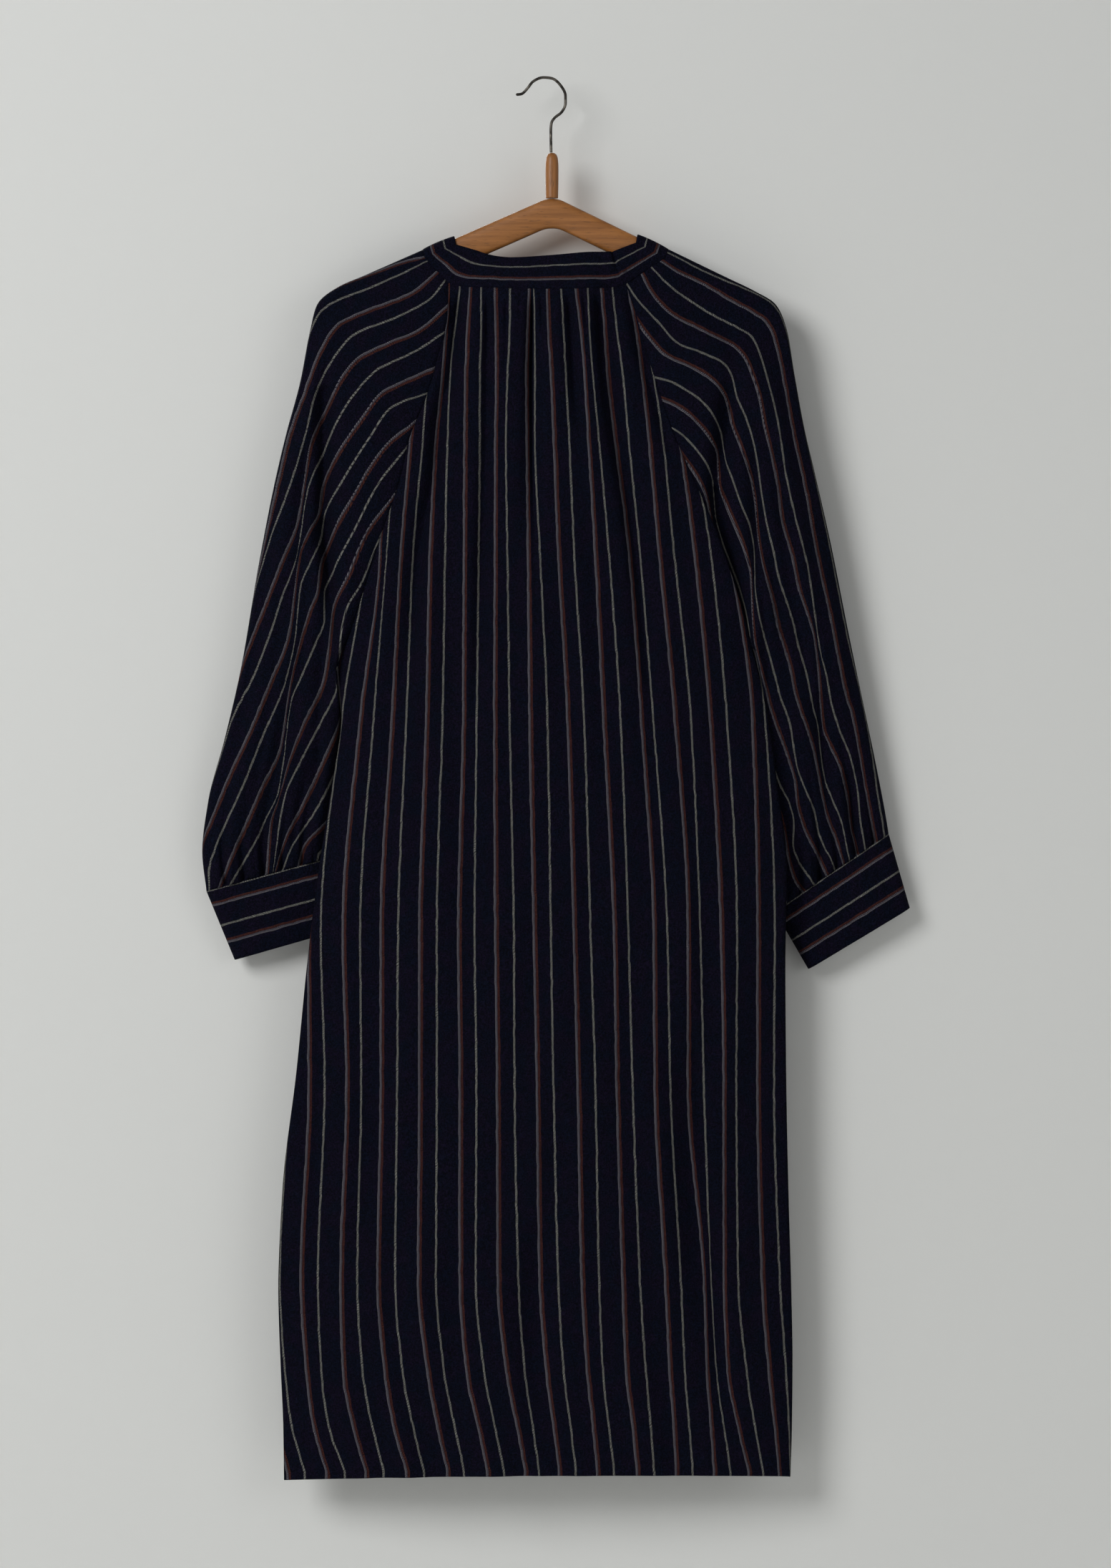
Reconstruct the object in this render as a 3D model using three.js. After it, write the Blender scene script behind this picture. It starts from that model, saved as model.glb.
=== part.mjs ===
// Tunic dress hung on a wooden hanger, in millimetres, +Z up.
// The origin is the inside of the hook's top bend, where it rests on a nail or rail.
// The garment's back faces -Y; left and right are the viewer's from there, -X and +X.
import * as THREE from 'three';
import { mergeVertices } from 'three/addons/utils/BufferGeometryUtils.js';

// ---------------------------------------------------------------- driving sizes
const CLOTH = 1.6; // wall of the cloth
const SEAM_GAP = 0.32; // free space between two sewn pieces
const SEAM_SHIFT = SEAM_GAP * 0.6; // how far each of the two stays back from the seam
const BAR_THICK = 11.6; // hanger bar, front to back
const BAR_DEPTH = 27; // hanger bar, top to bottom
const BAR_CLEARANCE = 0.8; // between the bar and the cloth on it
const ARCH = BAR_THICK / 2 + BAR_CLEARANCE + CLOTH; // outer radius of cloth over the bar
const STEM_RADIUS = 6;
const WIRE_RADIUS = 1.3;
const WIRE_SIDES = 8;
const WIRE_STEPS = 36;
const BACK_COLUMNS = 44; // quads across the back panel
const FRONT_COLUMNS = 24; // quads across the front panel
const ARCH_STEPS = 3; // quads from the ridge of the shoulder down each side of the bar
const YOKE_STEPS = 2; // quads from there to the corner of the neck
const BACK_RAGLAN_SPLIT = 2; // sleeve quads for each level of the back raglan seam
const CUFF_STEPS = 3; // quads along the cuff
const BAND_STEPS = 3; // quads from the seam of the neckband to its free edge
const GATHER_HEIGHT = 2.2; // ridges of the neck gathers
const CUFF_GATHER_HEIGHT = 1.7; // ridges of the gathers above each cuff
const CROWN_POWER = 0.65; // below 1: a panel is flat in the middle and round at its edges
const FILL_OUT = 0.3; // share of a sleeve's width over which it gets its full thickness
const SPRING = 0.08; // share of the way to the neck's corner where cloth leaves the bar

// An object with the given keys from one row of a table of numbers.
const namedRow = (keys, row) => Object.fromEntries(keys.map((key, i) => [key, row[i]]));

// The two panels of the body, one row for each level from the neck to the hem.
// left, right: the panel's edges (raglan seams down to the underarm, then side seams);
// backY, frontY: how far those edges stand out; backCrown, frontCrown: how much further
// the middle of each panel stands out; gather: share of the neck gathers' height left.
const LEVEL_KEYS = [
  'leftX', 'leftZ', 'rightX', 'rightZ', 'backY', 'frontY', 'backCrown', 'frontCrown', 'gather',
];
const BODY_LEVELS = [
  [-85.8, -187.0, 75.2, -187.7, -15, 15, 0, 0, 0],
  [-86.5, -215.6, 84.5, -215.6, -16, 15, 14, 8, 1],
  [-95.5, -254.6, 95.5, -254.6, -17.5, 16, 11, 9, 0.8],
  [-106.0, -291.0, 107.2, -291.0, -18.5, 16, 10, 9, 0.55],
  [-120.9, -327.4, 120.2, -327.4, -19, 15, 10, 9, 0.35],
  [-130.3, -367.1, 137.8, -367.1, -19, 13, 11, 10, 0.15],
  [-145.0, -410.6, 156.7, -410.6, -18.5, 10, 12, 12, 0],
  [-159.9, -457.4, 172.9, -457.4, -17, 5, 14, 16, 0],
  [-173.6, -500.3, 183.3, -491.2, -14.5, -2, 17, 21, 0],
  [-185.9, -536.1, 190.5, -517.9, -10, -10, 22, 28, 0],
  [-183.0, -580.3, 204.8, -580.3, -10, -10, 23, 28, 0],
  [-193.1, -651.1, 213.8, -649.2, -10, -10, 23, 27, 0],
  [-203.5, -717.4, 221.7, -717.4, -10, -10, 23, 27, 0],
  [-213.8, -800.6, 220.3, -808.4, -10, -10, 23, 27, 0],
  [-224.2, -904.6, 221.0, -904.6, -10, -10, 24, 28, 0],
  [-236.6, -1008.6, 223.0, -1008.6, -10, -10, 24, 28, 0],
  [-240.5, -1099.6, 225.6, -1099.6, -10, -10, 24, 29, 0],
  [-238.6, -1164.6, 226.8, -1164.6, -10, -10, 24, 30, 0],
  [-236.0, -1225.6, 226.2, -1225.6, -10, -10, 24, 31, 0],
  [-235.3, -1274.5, 224.9, -1271.2, -10, -10, 24, 32, 0],
].map((row) => namedRow(LEVEL_KEYS, row));
const UNDERARM = 9; // the level where raglan seams end and side seams start
const FRONT_TOP = 1; // the front panel starts at this level
const FRONT_HEM_DROP = 6; // the front hangs this much lower than the back
const HEM_RISE = 5; // the middle of the hem hangs this much higher than its corners
const NECK_DIP_LEFT = [1, 0.62, 0.3, 0.12]; // share of the neck's dip left, level by level
const FRONT_DIP_LEFT = [1, 0.8, 0.6, 0.42, 0.26, 0.12];

// Largest folds of the body: a soft trough from (topX, topZ) to (endX, endZ), pressed in
// by depth at its deepest and half as wide as width. side -1 is the back, +1 the front.
const BODY_FOLDS = [
  { side: -1, topX: -9.8, topZ: -196, endX: -9.8, endZ: -440, depth: 9, width: 8 },
  { side: -1, topX: -80, topZ: -205, endX: -106, endZ: -430, depth: 5, width: 9 },
  { side: -1, topX: 54, topZ: -220, endX: 84, endZ: -440, depth: 5, width: 9 },
  { side: -1, topX: 128, topZ: -880, endX: 159, endZ: -1240, depth: 9, width: 14 },
  { side: -1, topX: -80, topZ: -1060, endX: -80, endZ: -1330, depth: 5, width: 17 },
  { side: -1, topX: -6.5, topZ: -1040, endX: -6.5, endZ: -1330, depth: 6, width: 17 },
  { side: -1, topX: -150, topZ: -700, endX: -165, endZ: -1180, depth: 4, width: 18 },
  { side: 1, topX: -3, topZ: -275, endX: -3, endZ: -560, depth: 8, width: 10 },
  { side: 1, topX: -60, topZ: -270, endX: -88, endZ: -520, depth: 5, width: 11 },
  { side: 1, topX: 62, topZ: -270, endX: 92, endZ: -540, depth: 5, width: 11 },
  { side: 1, topX: -120, topZ: -860, endX: -140, endZ: -1330, depth: 8, width: 16 },
  { side: 1, topX: 40, topZ: -980, endX: 46, endZ: -1330, depth: 7, width: 17 },
];

// The neckband, one row for each place around the neck, from the middle of the back over
// the left shoulder: its sewn edge (seam) and its free edge (top). 'shoulder' rows lie on
// the ridge of the hanger, and the band arches over the bar there.
const NECK_PLACES = [
  { place: 'back', seamX: -5.2, seamY: -30, seamZ: -193.5, topX: 0.7, topY: -16, topZ: -162.3 },
  { place: 'back', seamX: -44.9, seamY: -27, seamZ: -192.2, topX: -33.1, topY: -15, topZ: -163.6 },
  { place: 'corner', seamX: -85.8, seamY: -15, seamZ: -187.0, topX: -59.1, topY: -12, topZ: -157.8 },
  { place: 'shoulder', seamX: -109.2, seamY: 0, seamZ: -155.5, topX: -81.2, topY: 0, topZ: -143.2 },
  { place: 'corner', seamX: -86.5, seamY: 15, seamZ: -215.6, topX: -66.3, topY: 13, topZ: -181.8 },
  { place: 'front', seamX: -49.4, seamY: 21, seamZ: -252.7, topX: -35.8, topY: 23, topZ: -215.6 },
  { place: 'front', seamX: -5.2, seamY: 23, seamZ: -263.1, topX: 0.7, topY: 27, topZ: -226.0 },
  { place: 'front', seamX: 39.0, seamY: 21, seamZ: -252.7, topX: 39.6, topY: 23, topZ: -215.6 },
  { place: 'corner', seamX: 84.5, seamY: 15, seamZ: -215.6, topX: 67.0, topY: 13, topZ: -180.5 },
  { place: 'shoulder', seamX: 114.4, seamY: 0, seamZ: -155.2, topX: 86.5, topY: 0, topZ: -141.6 },
  { place: 'corner', seamX: 75.2, seamY: -15, seamZ: -187.7, topX: 67.0, topY: -12, topZ: -157.1 },
  { place: 'back', seamX: 34.5, seamY: -27, seamZ: -192.9, topX: 37.7, topY: -15, topZ: -159.1 },
];
const SHOULDER_LEFT = 3; // rows of NECK_PLACES that the seams of the sleeves refer to
const SHOULDER_RIGHT = 9;

// Each sleeve, one row for each section from the neck to the cuff: the outer edge, the
// inner edge and half of the thickness that the hanging sleeve takes.
const SECTION_KEYS = ['outerX', 'outerY', 'outerZ', 'innerX', 'innerY', 'innerZ', 'half'];
const SLEEVES = {
  left: [
    [-109.2, 0, -155.5, -185.9, -10, -536.1, 9],
    [-135.8, 0, -167.2, -187.2, -8.5, -539.3, 13],
    [-161.8, 0, -178.6, -187.6, -7, -543.2, 16],
    [-186.6, 0, -189.5, -187.8, -5, -547.1, 17],
    [-205.4, 0, -205.0, -187.6, -2.5, -551.7, 18],
    [-212.6, 0, -231.9, -187.0, 0.5, -557.5, 18],
    [-221.0, 1, -275.4, -185.5, 4, -566.0, 19],
    [-234.0, 2, -323.5, -184.0, 8, -577.7, 20],
    [-245.1, 4, -370.3, -183.0, 11, -590.0, 20],
    [-259.4, 7, -443.1, -183.5, 13, -608.9, 20],
    [-275.6, 10, -536.7, -186.5, 15, -632.9, 19],
    [-290.7, 13, -601.1, -189.0, 17, -656.3, 18],
    [-305.7, 16, -657.0, -192.0, 19, -677.1, 17],
    [-311.4, 18, -703.1, -195.0, 20, -693.4, 14],
    [-307.6, 20, -740.2, -197.0, 21, -710.3, 11],
  ].map((row) => namedRow(SECTION_KEYS, row)),
  right: [
    [114.4, 0, -155.2, 190.5, -10, -517.9, 9],
    [140.4, 0, -167.8, 192.6, -8.5, -521.8, 13],
    [166.4, 0, -180.4, 193.4, -7, -526.3, 16],
    [192.4, 0, -193.0, 194.6, -5, -531.5, 17],
    [212.0, 0, -205.5, 195.6, -2.5, -536.7, 18],
    [222.0, 0, -228.6, 196.8, 0.5, -543.2, 18],
    [228.8, 1, -267.6, 198.0, 4, -553.6, 19],
    [237.2, 2, -313.8, 199.0, 8, -569.2, 20],
    [248.7, 4, -363.2, 200.0, 11, -586.1, 20],
    [262.4, 7, -423.0, 202.0, 13, -608.9, 20],
    [278.2, 10, -501.6, 206.0, 15, -638.1, 19],
    [291.9, 13, -566.6, 208.0, 17, -667.4, 18],
    [303.6, 16, -621.9, 210.0, 19, -696.6, 17],
    [312.5, 18, -667.4, 211.6, 20, -727.8, 14],
    [315.9, 20, -687.5, 211.9, 21, -758.4, 11],
  ].map((row) => namedRow(SECTION_KEYS, row)),
};
const RAGLAN_LEFT = [1, 0.82, 0.6, 0.38, 0.22, 0.12, 0.06, 0.02]; // share of its bend left

// Free end of each cuff.
const CUFF_HEMS = {
  left: namedRow(SECTION_KEYS, [-282.1, 23, -802.6, -177.5, 25, -772.7, 11]),
  right: namedRow(SECTION_KEYS, [335.4, 23, -755.1, 242.5, 25, -811.0, 11]),
};

// Largest folds of the sleeves, in the same terms as the folds of the body.
const SLEEVE_FOLDS = {
  left: [
    { side: -1, topX: -197, topZ: -280, endX: -199, endZ: -440, depth: 9, width: 8 },
    { side: -1, topX: -201, topZ: -400, endX: -186, endZ: -540, depth: 9, width: 8 },
    { side: -1, topX: -215, topZ: -330, endX: -229, endZ: -560, depth: 5, width: 7 },
    { side: -1, topX: -231, topZ: -540, endX: -251, endZ: -735, depth: 6, width: 8 },
    { side: -1, topX: -206, topZ: -610, endX: -232, endZ: -725, depth: 7, width: 8 },
    { side: 1, topX: -210, topZ: -300, endX: -232, endZ: -640, depth: 8, width: 12 },
    { side: 1, topX: -262, topZ: -560, endX: -280, endZ: -730, depth: 6, width: 10 },
  ],
  right: [
    { side: -1, topX: 169, topZ: -280, endX: 157, endZ: -410, depth: 9, width: 8 },
    { side: -1, topX: 157, topZ: -370, endX: 193, endZ: -520, depth: 9, width: 8 },
    { side: -1, topX: 193, topZ: -340, endX: 193, endZ: -500, depth: 5, width: 7 },
    { side: -1, topX: 250, topZ: -560, endX: 264, endZ: -680, depth: 6, width: 8 },
    { side: -1, topX: 279, topZ: -630, endX: 285, endZ: -710, depth: 5, width: 7 },
    { side: 1, topX: 212, topZ: -300, endX: 238, endZ: -640, depth: 8, width: 12 },
    { side: 1, topX: 272, topZ: -560, endX: 286, endZ: -700, depth: 6, width: 10 },
  ],
};

// The hanger: ridge of the bar from the left end to the right, and the hook's wire from
// its free tip over the top to the stem.
const BAR_RIDGE = [
  { x: -203.0, drop: 16.0, depth: 7, thick: 6 },
  { x: -200.5, drop: 9.5, depth: 16, thick: 10.5 },
  { x: -195.5, drop: 4.6, depth: 22.5, thick: BAR_THICK },
  { x: -187.0, drop: 1.2, depth: 26, thick: BAR_THICK },
  { x: -176.0, drop: 0, depth: BAR_DEPTH, thick: BAR_THICK },
  { x: -90.0, drop: 0, depth: BAR_DEPTH, thick: BAR_THICK },
  { x: 2.6, drop: 0, depth: BAR_DEPTH, thick: BAR_THICK },
  { x: 14.2, drop: 0, depth: BAR_DEPTH, thick: BAR_THICK },
  { x: 98.0, drop: 0, depth: BAR_DEPTH, thick: BAR_THICK },
  { x: 182.0, drop: 0, depth: BAR_DEPTH, thick: BAR_THICK },
  { x: 193.0, drop: 1.2, depth: 26, thick: BAR_THICK },
  { x: 202.0, drop: 4.6, depth: 22.5, thick: BAR_THICK },
  { x: 207.5, drop: 9.5, depth: 16, thick: 10.5 },
  { x: 210.0, drop: 16.0, depth: 7, thick: 6 },
];
const BAR_TOP = { leftX: 2.6, rightX: 14.2, z: -109.3, leftSlope: 0.438, rightSlope: 0.486 };
const BAR_ROUND = 6; // facets of each rounded edge of the bar
const HOOK_WIRE = [
  { x: -24.8, z: -14.3 }, { x: -20.2, z: -14.0 }, { x: -14.3, z: -8.9 }, { x: -9.1, z: -2.4 },
  { x: 0.0, z: 1.3 }, { x: 7.8, z: 0.6 }, { x: 15.3, z: -5.0 }, { x: 20.5, z: -15.4 },
  { x: 20.5, z: -22.6 }, { x: 16.9, z: -30.4 }, { x: 10.4, z: -35.6 }, { x: 7.6, z: -40.4 },
  { x: 7.1, z: -46.9 }, { x: 7.4, z: -66.9 },
];
const STEM_AXIS_X = 8.2;
const STEM_PROFILE = [
  { r: 2.6, up: 0 }, { r: 4.6, up: -1.2 }, { r: 5.4, up: -3.2 }, { r: 5.0, up: -5.0 },
  { r: 5.7, up: -7.5 }, { r: STEM_RADIUS, up: -22 }, { r: STEM_RADIUS, up: -41.7 },
];
const STEM_TOP = -67.3;

// ---------------------------------------------------------------- small helpers
const lerp = (a, b, t) => a + (b - a) * t;
const clamp01 = (t) => Math.min(1, Math.max(0, t));
const smooth = (t) => clamp01(t) ** 2 * (3 - 2 * clamp01(t));
const vec = (x, y, z) => new THREE.Vector3(x, y, z);

// Quarter circle that opens from 0 at the edge to 1 at a distance of one.
const arch = (q) => Math.sqrt(1 - (1 - clamp01(q)) ** 2);

// How far the folds in a table press the cloth in at (x, z) on one side.
function foldDepth(folds, side, x, z) {
  let depth = 0;
  for (const fold of folds) {
    if (fold.side !== side) continue;
    const t = (z - fold.topZ) / (fold.endZ - fold.topZ);
    if (t <= 0 || t >= 1) continue;
    const centre = lerp(fold.topX, fold.endX, t);
    const fade = Math.sin(Math.PI * Math.sqrt(t)) ** 0.8;
    depth += fold.depth * fade * Math.exp(-(((x - centre) / fold.width) ** 2));
  }
  return depth;
}

// Closed wall of cloth through a grid of outer points, grid[row][column]. around closes
// each row on itself. inwards(row, column) may fix the direction of the thickness at a
// seam; elsewhere it is square to the grid and turned by flip.
function clothWall(grid, { around = false, flip = 1, inwards = () => null } = {}) {
  const rows = grid.length;
  const columns = grid[0].length;
  const wrap = (c) => (
    around ? (c + columns) % columns : THREE.MathUtils.clamp(c, 0, columns - 1)
  );
  const at = (r, c) => grid[THREE.MathUtils.clamp(r, 0, rows - 1)][wrap(c)];
  const positions = [];
  const faces = [];
  for (let r = 0; r < rows; r += 1) {
    for (let c = 0; c < columns; c += 1) {
      const along = at(r + 1, c).clone().sub(at(r - 1, c));
      const across = at(r, c + 1).clone().sub(at(r, c - 1));
      const normal = along.cross(across).normalize().multiplyScalar(flip);
      const direction = inwards(r, c) ?? normal;
      const outer = at(r, c);
      const inner = outer.clone().addScaledVector(direction, CLOTH);
      positions.push(outer.x, outer.y, outer.z, inner.x, inner.y, inner.z);
    }
  }
  const index = (r, c, layer) => (r * columns + wrap(c)) * 2 + layer;
  const quad = (a, b, c, d) => (
    flip > 0 ? faces.push(a, b, c, a, c, d) : faces.push(a, c, b, a, d, c)
  );
  const span = around ? columns : columns - 1;
  for (let r = 0; r < rows - 1; r += 1) {
    for (let c = 0; c < span; c += 1) {
      quad(index(r, c, 0), index(r, c + 1, 0), index(r + 1, c + 1, 0), index(r + 1, c, 0));
      quad(index(r, c, 1), index(r + 1, c, 1), index(r + 1, c + 1, 1), index(r, c + 1, 1));
    }
    if (!around) {
      quad(index(r, 0, 0), index(r + 1, 0, 0), index(r + 1, 0, 1), index(r, 0, 1));
      quad(index(r, span, 0), index(r, span, 1), index(r + 1, span, 1), index(r + 1, span, 0));
    }
  }
  for (let c = 0; c < span; c += 1) {
    const last = rows - 1;
    quad(index(0, c, 0), index(0, c, 1), index(0, c + 1, 1), index(0, c + 1, 0));
    quad(index(last, c, 0), index(last, c + 1, 0), index(last, c + 1, 1), index(last, c, 1));
  }
  const geometry = new THREE.BufferGeometry();
  geometry.setAttribute('position', new THREE.Float32BufferAttribute(positions, 3));
  geometry.setIndex(faces);
  geometry.computeVertexNormals();
  return geometry;
}

// ---------------------------------------------------------------- the neck
// The ring of the neck is followed by the number of the place, 0 to 12 and round again.
function alongNeck(place, key) {
  const count = NECK_PLACES.length;
  const first = Math.floor(place);
  const t = place - first;
  const value = (i) => NECK_PLACES[(i + count * 2) % count][key];
  const [a, b, c, d] = [value(first - 1), value(first), value(first + 1), value(first + 2)];
  return b + 0.5 * t * (c - a + t * (2 * a - 5 * b + 4 * c - d + t * (3 * (b - c) + d - a)));
}

// One side of the shoulder, from the ridge (step 0) over the bar to the corner: an arch
// around the bar and then a straight run, for the seam edge or the free edge of the band.
function overShoulder(ridge, corner, step) {
  const side = Math.sign(corner.y);
  const spring = vec(lerp(ridge.x, corner.x, SPRING), side * ARCH, ridge.z - ARCH);
  if (step <= ARCH_STEPS) {
    const angle = (step / ARCH_STEPS) * (Math.PI / 2);
    const x = lerp(ridge.x, spring.x, 1 - Math.cos(angle));
    return vec(x, side * ARCH * Math.sin(angle), ridge.z - ARCH * (1 - Math.cos(angle)));
  }
  return spring.lerp(corner, (step - ARCH_STEPS) / YOKE_STEPS);
}

// Points of the neck ring, in order: { seam, top } for each column of the band.
function neckColumns() {
  const at = (place, edge) => vec(
    alongNeck(place, `${edge}X`),
    alongNeck(place, `${edge}Y`),
    alongNeck(place, `${edge}Z`),
  );
  const both = (make) => ({ seam: make('seam'), top: make('top') });
  const steps = ARCH_STEPS + YOKE_STEPS;
  const back = [];
  const front = [];
  for (let i = 0; i <= BACK_COLUMNS; i += 1) {
    const place = SHOULDER_RIGHT + 1 + (4 * i) / BACK_COLUMNS;
    back.push(both((edge) => at(place % NECK_PLACES.length, edge)));
  }
  for (let i = 0; i <= FRONT_COLUMNS; i += 1) {
    const place = SHOULDER_LEFT + 1 + (4 * i) / FRONT_COLUMNS;
    front.push(both((edge) => at(place, edge)));
  }
  const shoulder = (ridge, corner) => {
    const points = [];
    for (let step = 0; step <= steps; step += 1) {
      points.push(both((edge) => overShoulder(at(ridge, edge), at(corner, edge), step)));
    }
    return points;
  };
  return {
    back, // right corner to left corner
    front, // left corner to right corner
    leftBack: shoulder(SHOULDER_LEFT, SHOULDER_LEFT - 1), // ridge to corner
    leftFront: shoulder(SHOULDER_LEFT, SHOULDER_LEFT + 1),
    rightBack: shoulder(SHOULDER_RIGHT, SHOULDER_RIGHT + 1),
    rightFront: shoulder(SHOULDER_RIGHT, SHOULDER_RIGHT - 1),
  };
}
const NECK = neckColumns();

// The whole ring, right back corner, back, left shoulder, front, right shoulder.
const RING = [
  ...NECK.back,
  ...NECK.leftBack.slice(0, -1).reverse(),
  ...NECK.leftFront.slice(1),
  ...NECK.front.slice(1),
  ...NECK.rightFront.slice(0, -1).reverse(),
  ...NECK.rightBack.slice(1, -1),
];
const RING_INWARDS = RING.map((_, i) => {
  const count = RING.length;
  const before = RING[(i + count - 1) % count].seam;
  const after = RING[(i + 1) % count].seam;
  const rise = RING[i].top.clone().sub(RING[i].seam);
  return after.clone().sub(before).cross(rise).normalize();
});

// A point of the neck ring moved half a seam away from the band (-1) or into it (+1).
function seamPoint(ringPoint, way) {
  const rise = ringPoint.top.clone().sub(ringPoint.seam).normalize();
  return ringPoint.seam.clone().addScaledVector(rise, way * SEAM_SHIFT);
}

// ---------------------------------------------------------------- the pieces
function neckband() {
  const rows = [];
  for (let r = 0; r <= BAND_STEPS; r += 1) {
    rows.push(RING.map((point) => seamPoint(point, 1).lerp(point.top, r / BAND_STEPS)));
  }
  return clothWall(rows, { around: true, flip: -1, inwards: (r, c) => RING_INWARDS[c] });
}

// Edge of a body panel, from its first level to the hem, without any gap.
function panelEdge(hand, face) {
  const neckSide = (hand < 0 ? 'left' : 'right') + (face === 'back' ? 'Back' : 'Front');
  const corner = seamPoint(NECK[neckSide].at(-1), -1);
  const first = face === 'back' ? 0 : FRONT_TOP;
  return BODY_LEVELS.slice(first).map((level, i) => {
    if (i === 0) return corner;
    const x = hand < 0 ? level.leftX : level.rightX;
    const z = hand < 0 ? level.leftZ : level.rightZ;
    return vec(x, face === 'back' ? level.backY : level.frontY, z);
  });
}

function bodyPanel(face) {
  const back = face === 'back';
  const side = back ? -1 : 1;
  const first = back ? 0 : FRONT_TOP;
  const columns = back ? BACK_COLUMNS : FRONT_COLUMNS;
  const dipLeft = back ? NECK_DIP_LEFT : FRONT_DIP_LEFT;
  const left = panelEdge(-1, face);
  const right = panelEdge(1, face);
  const neck = back ? [...NECK.back].reverse() : NECK.front;
  const top = neck.map((point) => seamPoint(point, -1));
  const grid = left.map((_, r) => {
    const level = BODY_LEVELS[first + r];
    const row = [];
    for (let c = 0; c <= columns; c += 1) {
      const u = c / columns;
      const point = left[r].clone().lerp(right[r], u);
      const dip = dipLeft[r] ?? 0;
      point.x += dip * (top[c].x - lerp(left[0].x, right[0].x, u));
      point.z += dip * (top[c].z - lerp(left[0].z, right[0].z, u));
      const swell = Math.sin(Math.PI * u) ** CROWN_POWER;
      const hang = smooth((first + r - UNDERARM - 6) / 4) * swell;
      if (r === 0) {
        point.y = top[c].y;
      } else {
        const crown = back ? level.backCrown : level.frontCrown;
        const inside = smooth(6 * u) * smooth(6 * (1 - u));
        const ridge = c % 2 ? 0.6 + 0.4 * Math.cos(c * 1.7) : 0;
        point.y += side * crown * swell;
        point.y += side * level.gather * GATHER_HEIGHT * ridge * inside;
        point.y -= side * foldDepth(BODY_FOLDS, side, point.x, point.z) * inside;
        point.z += hang * (back ? HEM_RISE : HEM_RISE - FRONT_HEM_DROP);
      }
      const edge = (c === 0) - (c === columns);
      point.x += edge * (first + r <= UNDERARM ? SEAM_SHIFT : 0);
      point.y += edge && first + r >= UNDERARM ? side * SEAM_SHIFT : 0;
      row.push(point);
    }
    return row;
  });
  const ringStart = back ? 0 : RING.indexOf(NECK.front[1]) - 1;
  const inwards = (r, c) => {
    const edge = (c === 0) - (c === columns);
    if (r === 0) return RING_INWARDS[back ? ringStart + columns - c : ringStart + c];
    if (edge && first + r < UNDERARM) return vec(0, -side, 0);
    if (edge) return vec(edge, 0, 0);
    return null;
  };
  return clothWall(grid, { flip: side, inwards });
}

// First ring of a sleeve: ridge of the shoulder, down the back to the underarm and up the
// front. Each column has its point, its side and its way s from the ridge to the underarm.
function armhole(hand) {
  const away = vec(hand * SEAM_SHIFT, 0, 0);
  const ring = hand < 0 ? ['leftBack', 'leftFront'] : ['rightBack', 'rightFront'];
  const halves = ring.map((name, i) => {
    const neck = NECK[name].map((point) => seamPoint(point, -1));
    const face = i === 0 ? 'back' : 'front';
    const first = i === 0 ? 0 : FRONT_TOP;
    const edge = panelEdge(hand, face).slice(0, UNDERARM - first + 1);
    const split = i === 0 ? BACK_RAGLAN_SPLIT : 1;
    const points = neck.slice(0, -1);
    const inwards = NECK[name].slice(0, -1).map((point) => RING_INWARDS[RING.indexOf(point)]);
    edge.forEach((point, k) => {
      points.push(point.clone().add(away));
      inwards.push(k === 0 ? RING_INWARDS[cornerIndex(hand, face)] : vec(0, i === 0 ? 1 : -1, 0));
      for (let part = 1; part < split && k < edge.length - 1; part += 1) {
        points.push(point.clone().lerp(edge[k + 1], part / split).add(away));
        const turn = inwards.at(-1).clone().lerp(vec(0, 1, 0), part / split).normalize();
        inwards.push(turn);
      }
    });
    inwards[inwards.length - 1] = vec(hand * 0.6, 0, 0.8);
    const lengths = [0];
    points.slice(1).forEach((point, k) => lengths.push(lengths[k] + point.distanceTo(points[k])));
    return points.map((point, k) => ({
      point,
      inwards: inwards[k],
      side: i === 0 ? -1 : 1,
      s: lengths[k] / lengths.at(-1),
      even: k / (points.length - 1),
    }));
  });
  return [...halves[0], ...halves[1].slice(1, -1).reverse()];
}

// Place of a corner of the neck in the ring of the neckband.
function cornerIndex(hand, face) {
  if (face === 'back') return hand < 0 ? BACK_COLUMNS : 0;
  const left = RING.indexOf(NECK.leftFront.at(-1));
  return hand < 0 ? left : left + FRONT_COLUMNS;
}

// A point of a flattened tube: s runs from its outer to its inner edge on one side.
function tubePoint(section, side, s) {
  const length = Math.hypot(section.outerX - section.innerX, section.outerZ - section.innerZ);
  const swell = ARCH * arch((s * length) / ARCH) + (section.half - ARCH) * smooth(s / FILL_OUT);
  const closing = arch(((1 - s) * length) / section.half);
  return vec(
    lerp(section.outerX, section.innerX, s),
    lerp(section.outerY, section.innerY, s) + side * swell * closing,
    lerp(section.outerZ, section.innerZ, s),
  );
}

function cuffAxis(name) {
  const seam = SLEEVES[name].at(-1);
  const hem = CUFF_HEMS[name];
  const middle = (row) => vec(
    row.outerX + row.innerX,
    row.outerY + row.innerY,
    row.outerZ + row.innerZ,
  );
  return middle(hem).sub(middle(seam)).normalize();
}

// The ring at the cuff seam, with the direction of the thickness there.
function cuffRing(name, columns) {
  const hand = name === 'left' ? -1 : 1;
  const axis = cuffAxis(name);
  const points = columns.map(({ side, even }) => tubePoint(SLEEVES[name].at(-1), side, even));
  const inwards = points.map((_, c) => {
    const before = points[(c + points.length - 1) % points.length];
    const after = points[(c + 1) % points.length];
    return after.clone().sub(before).cross(axis).normalize().multiplyScalar(-hand);
  });
  return { points, inwards, axis };
}

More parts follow.
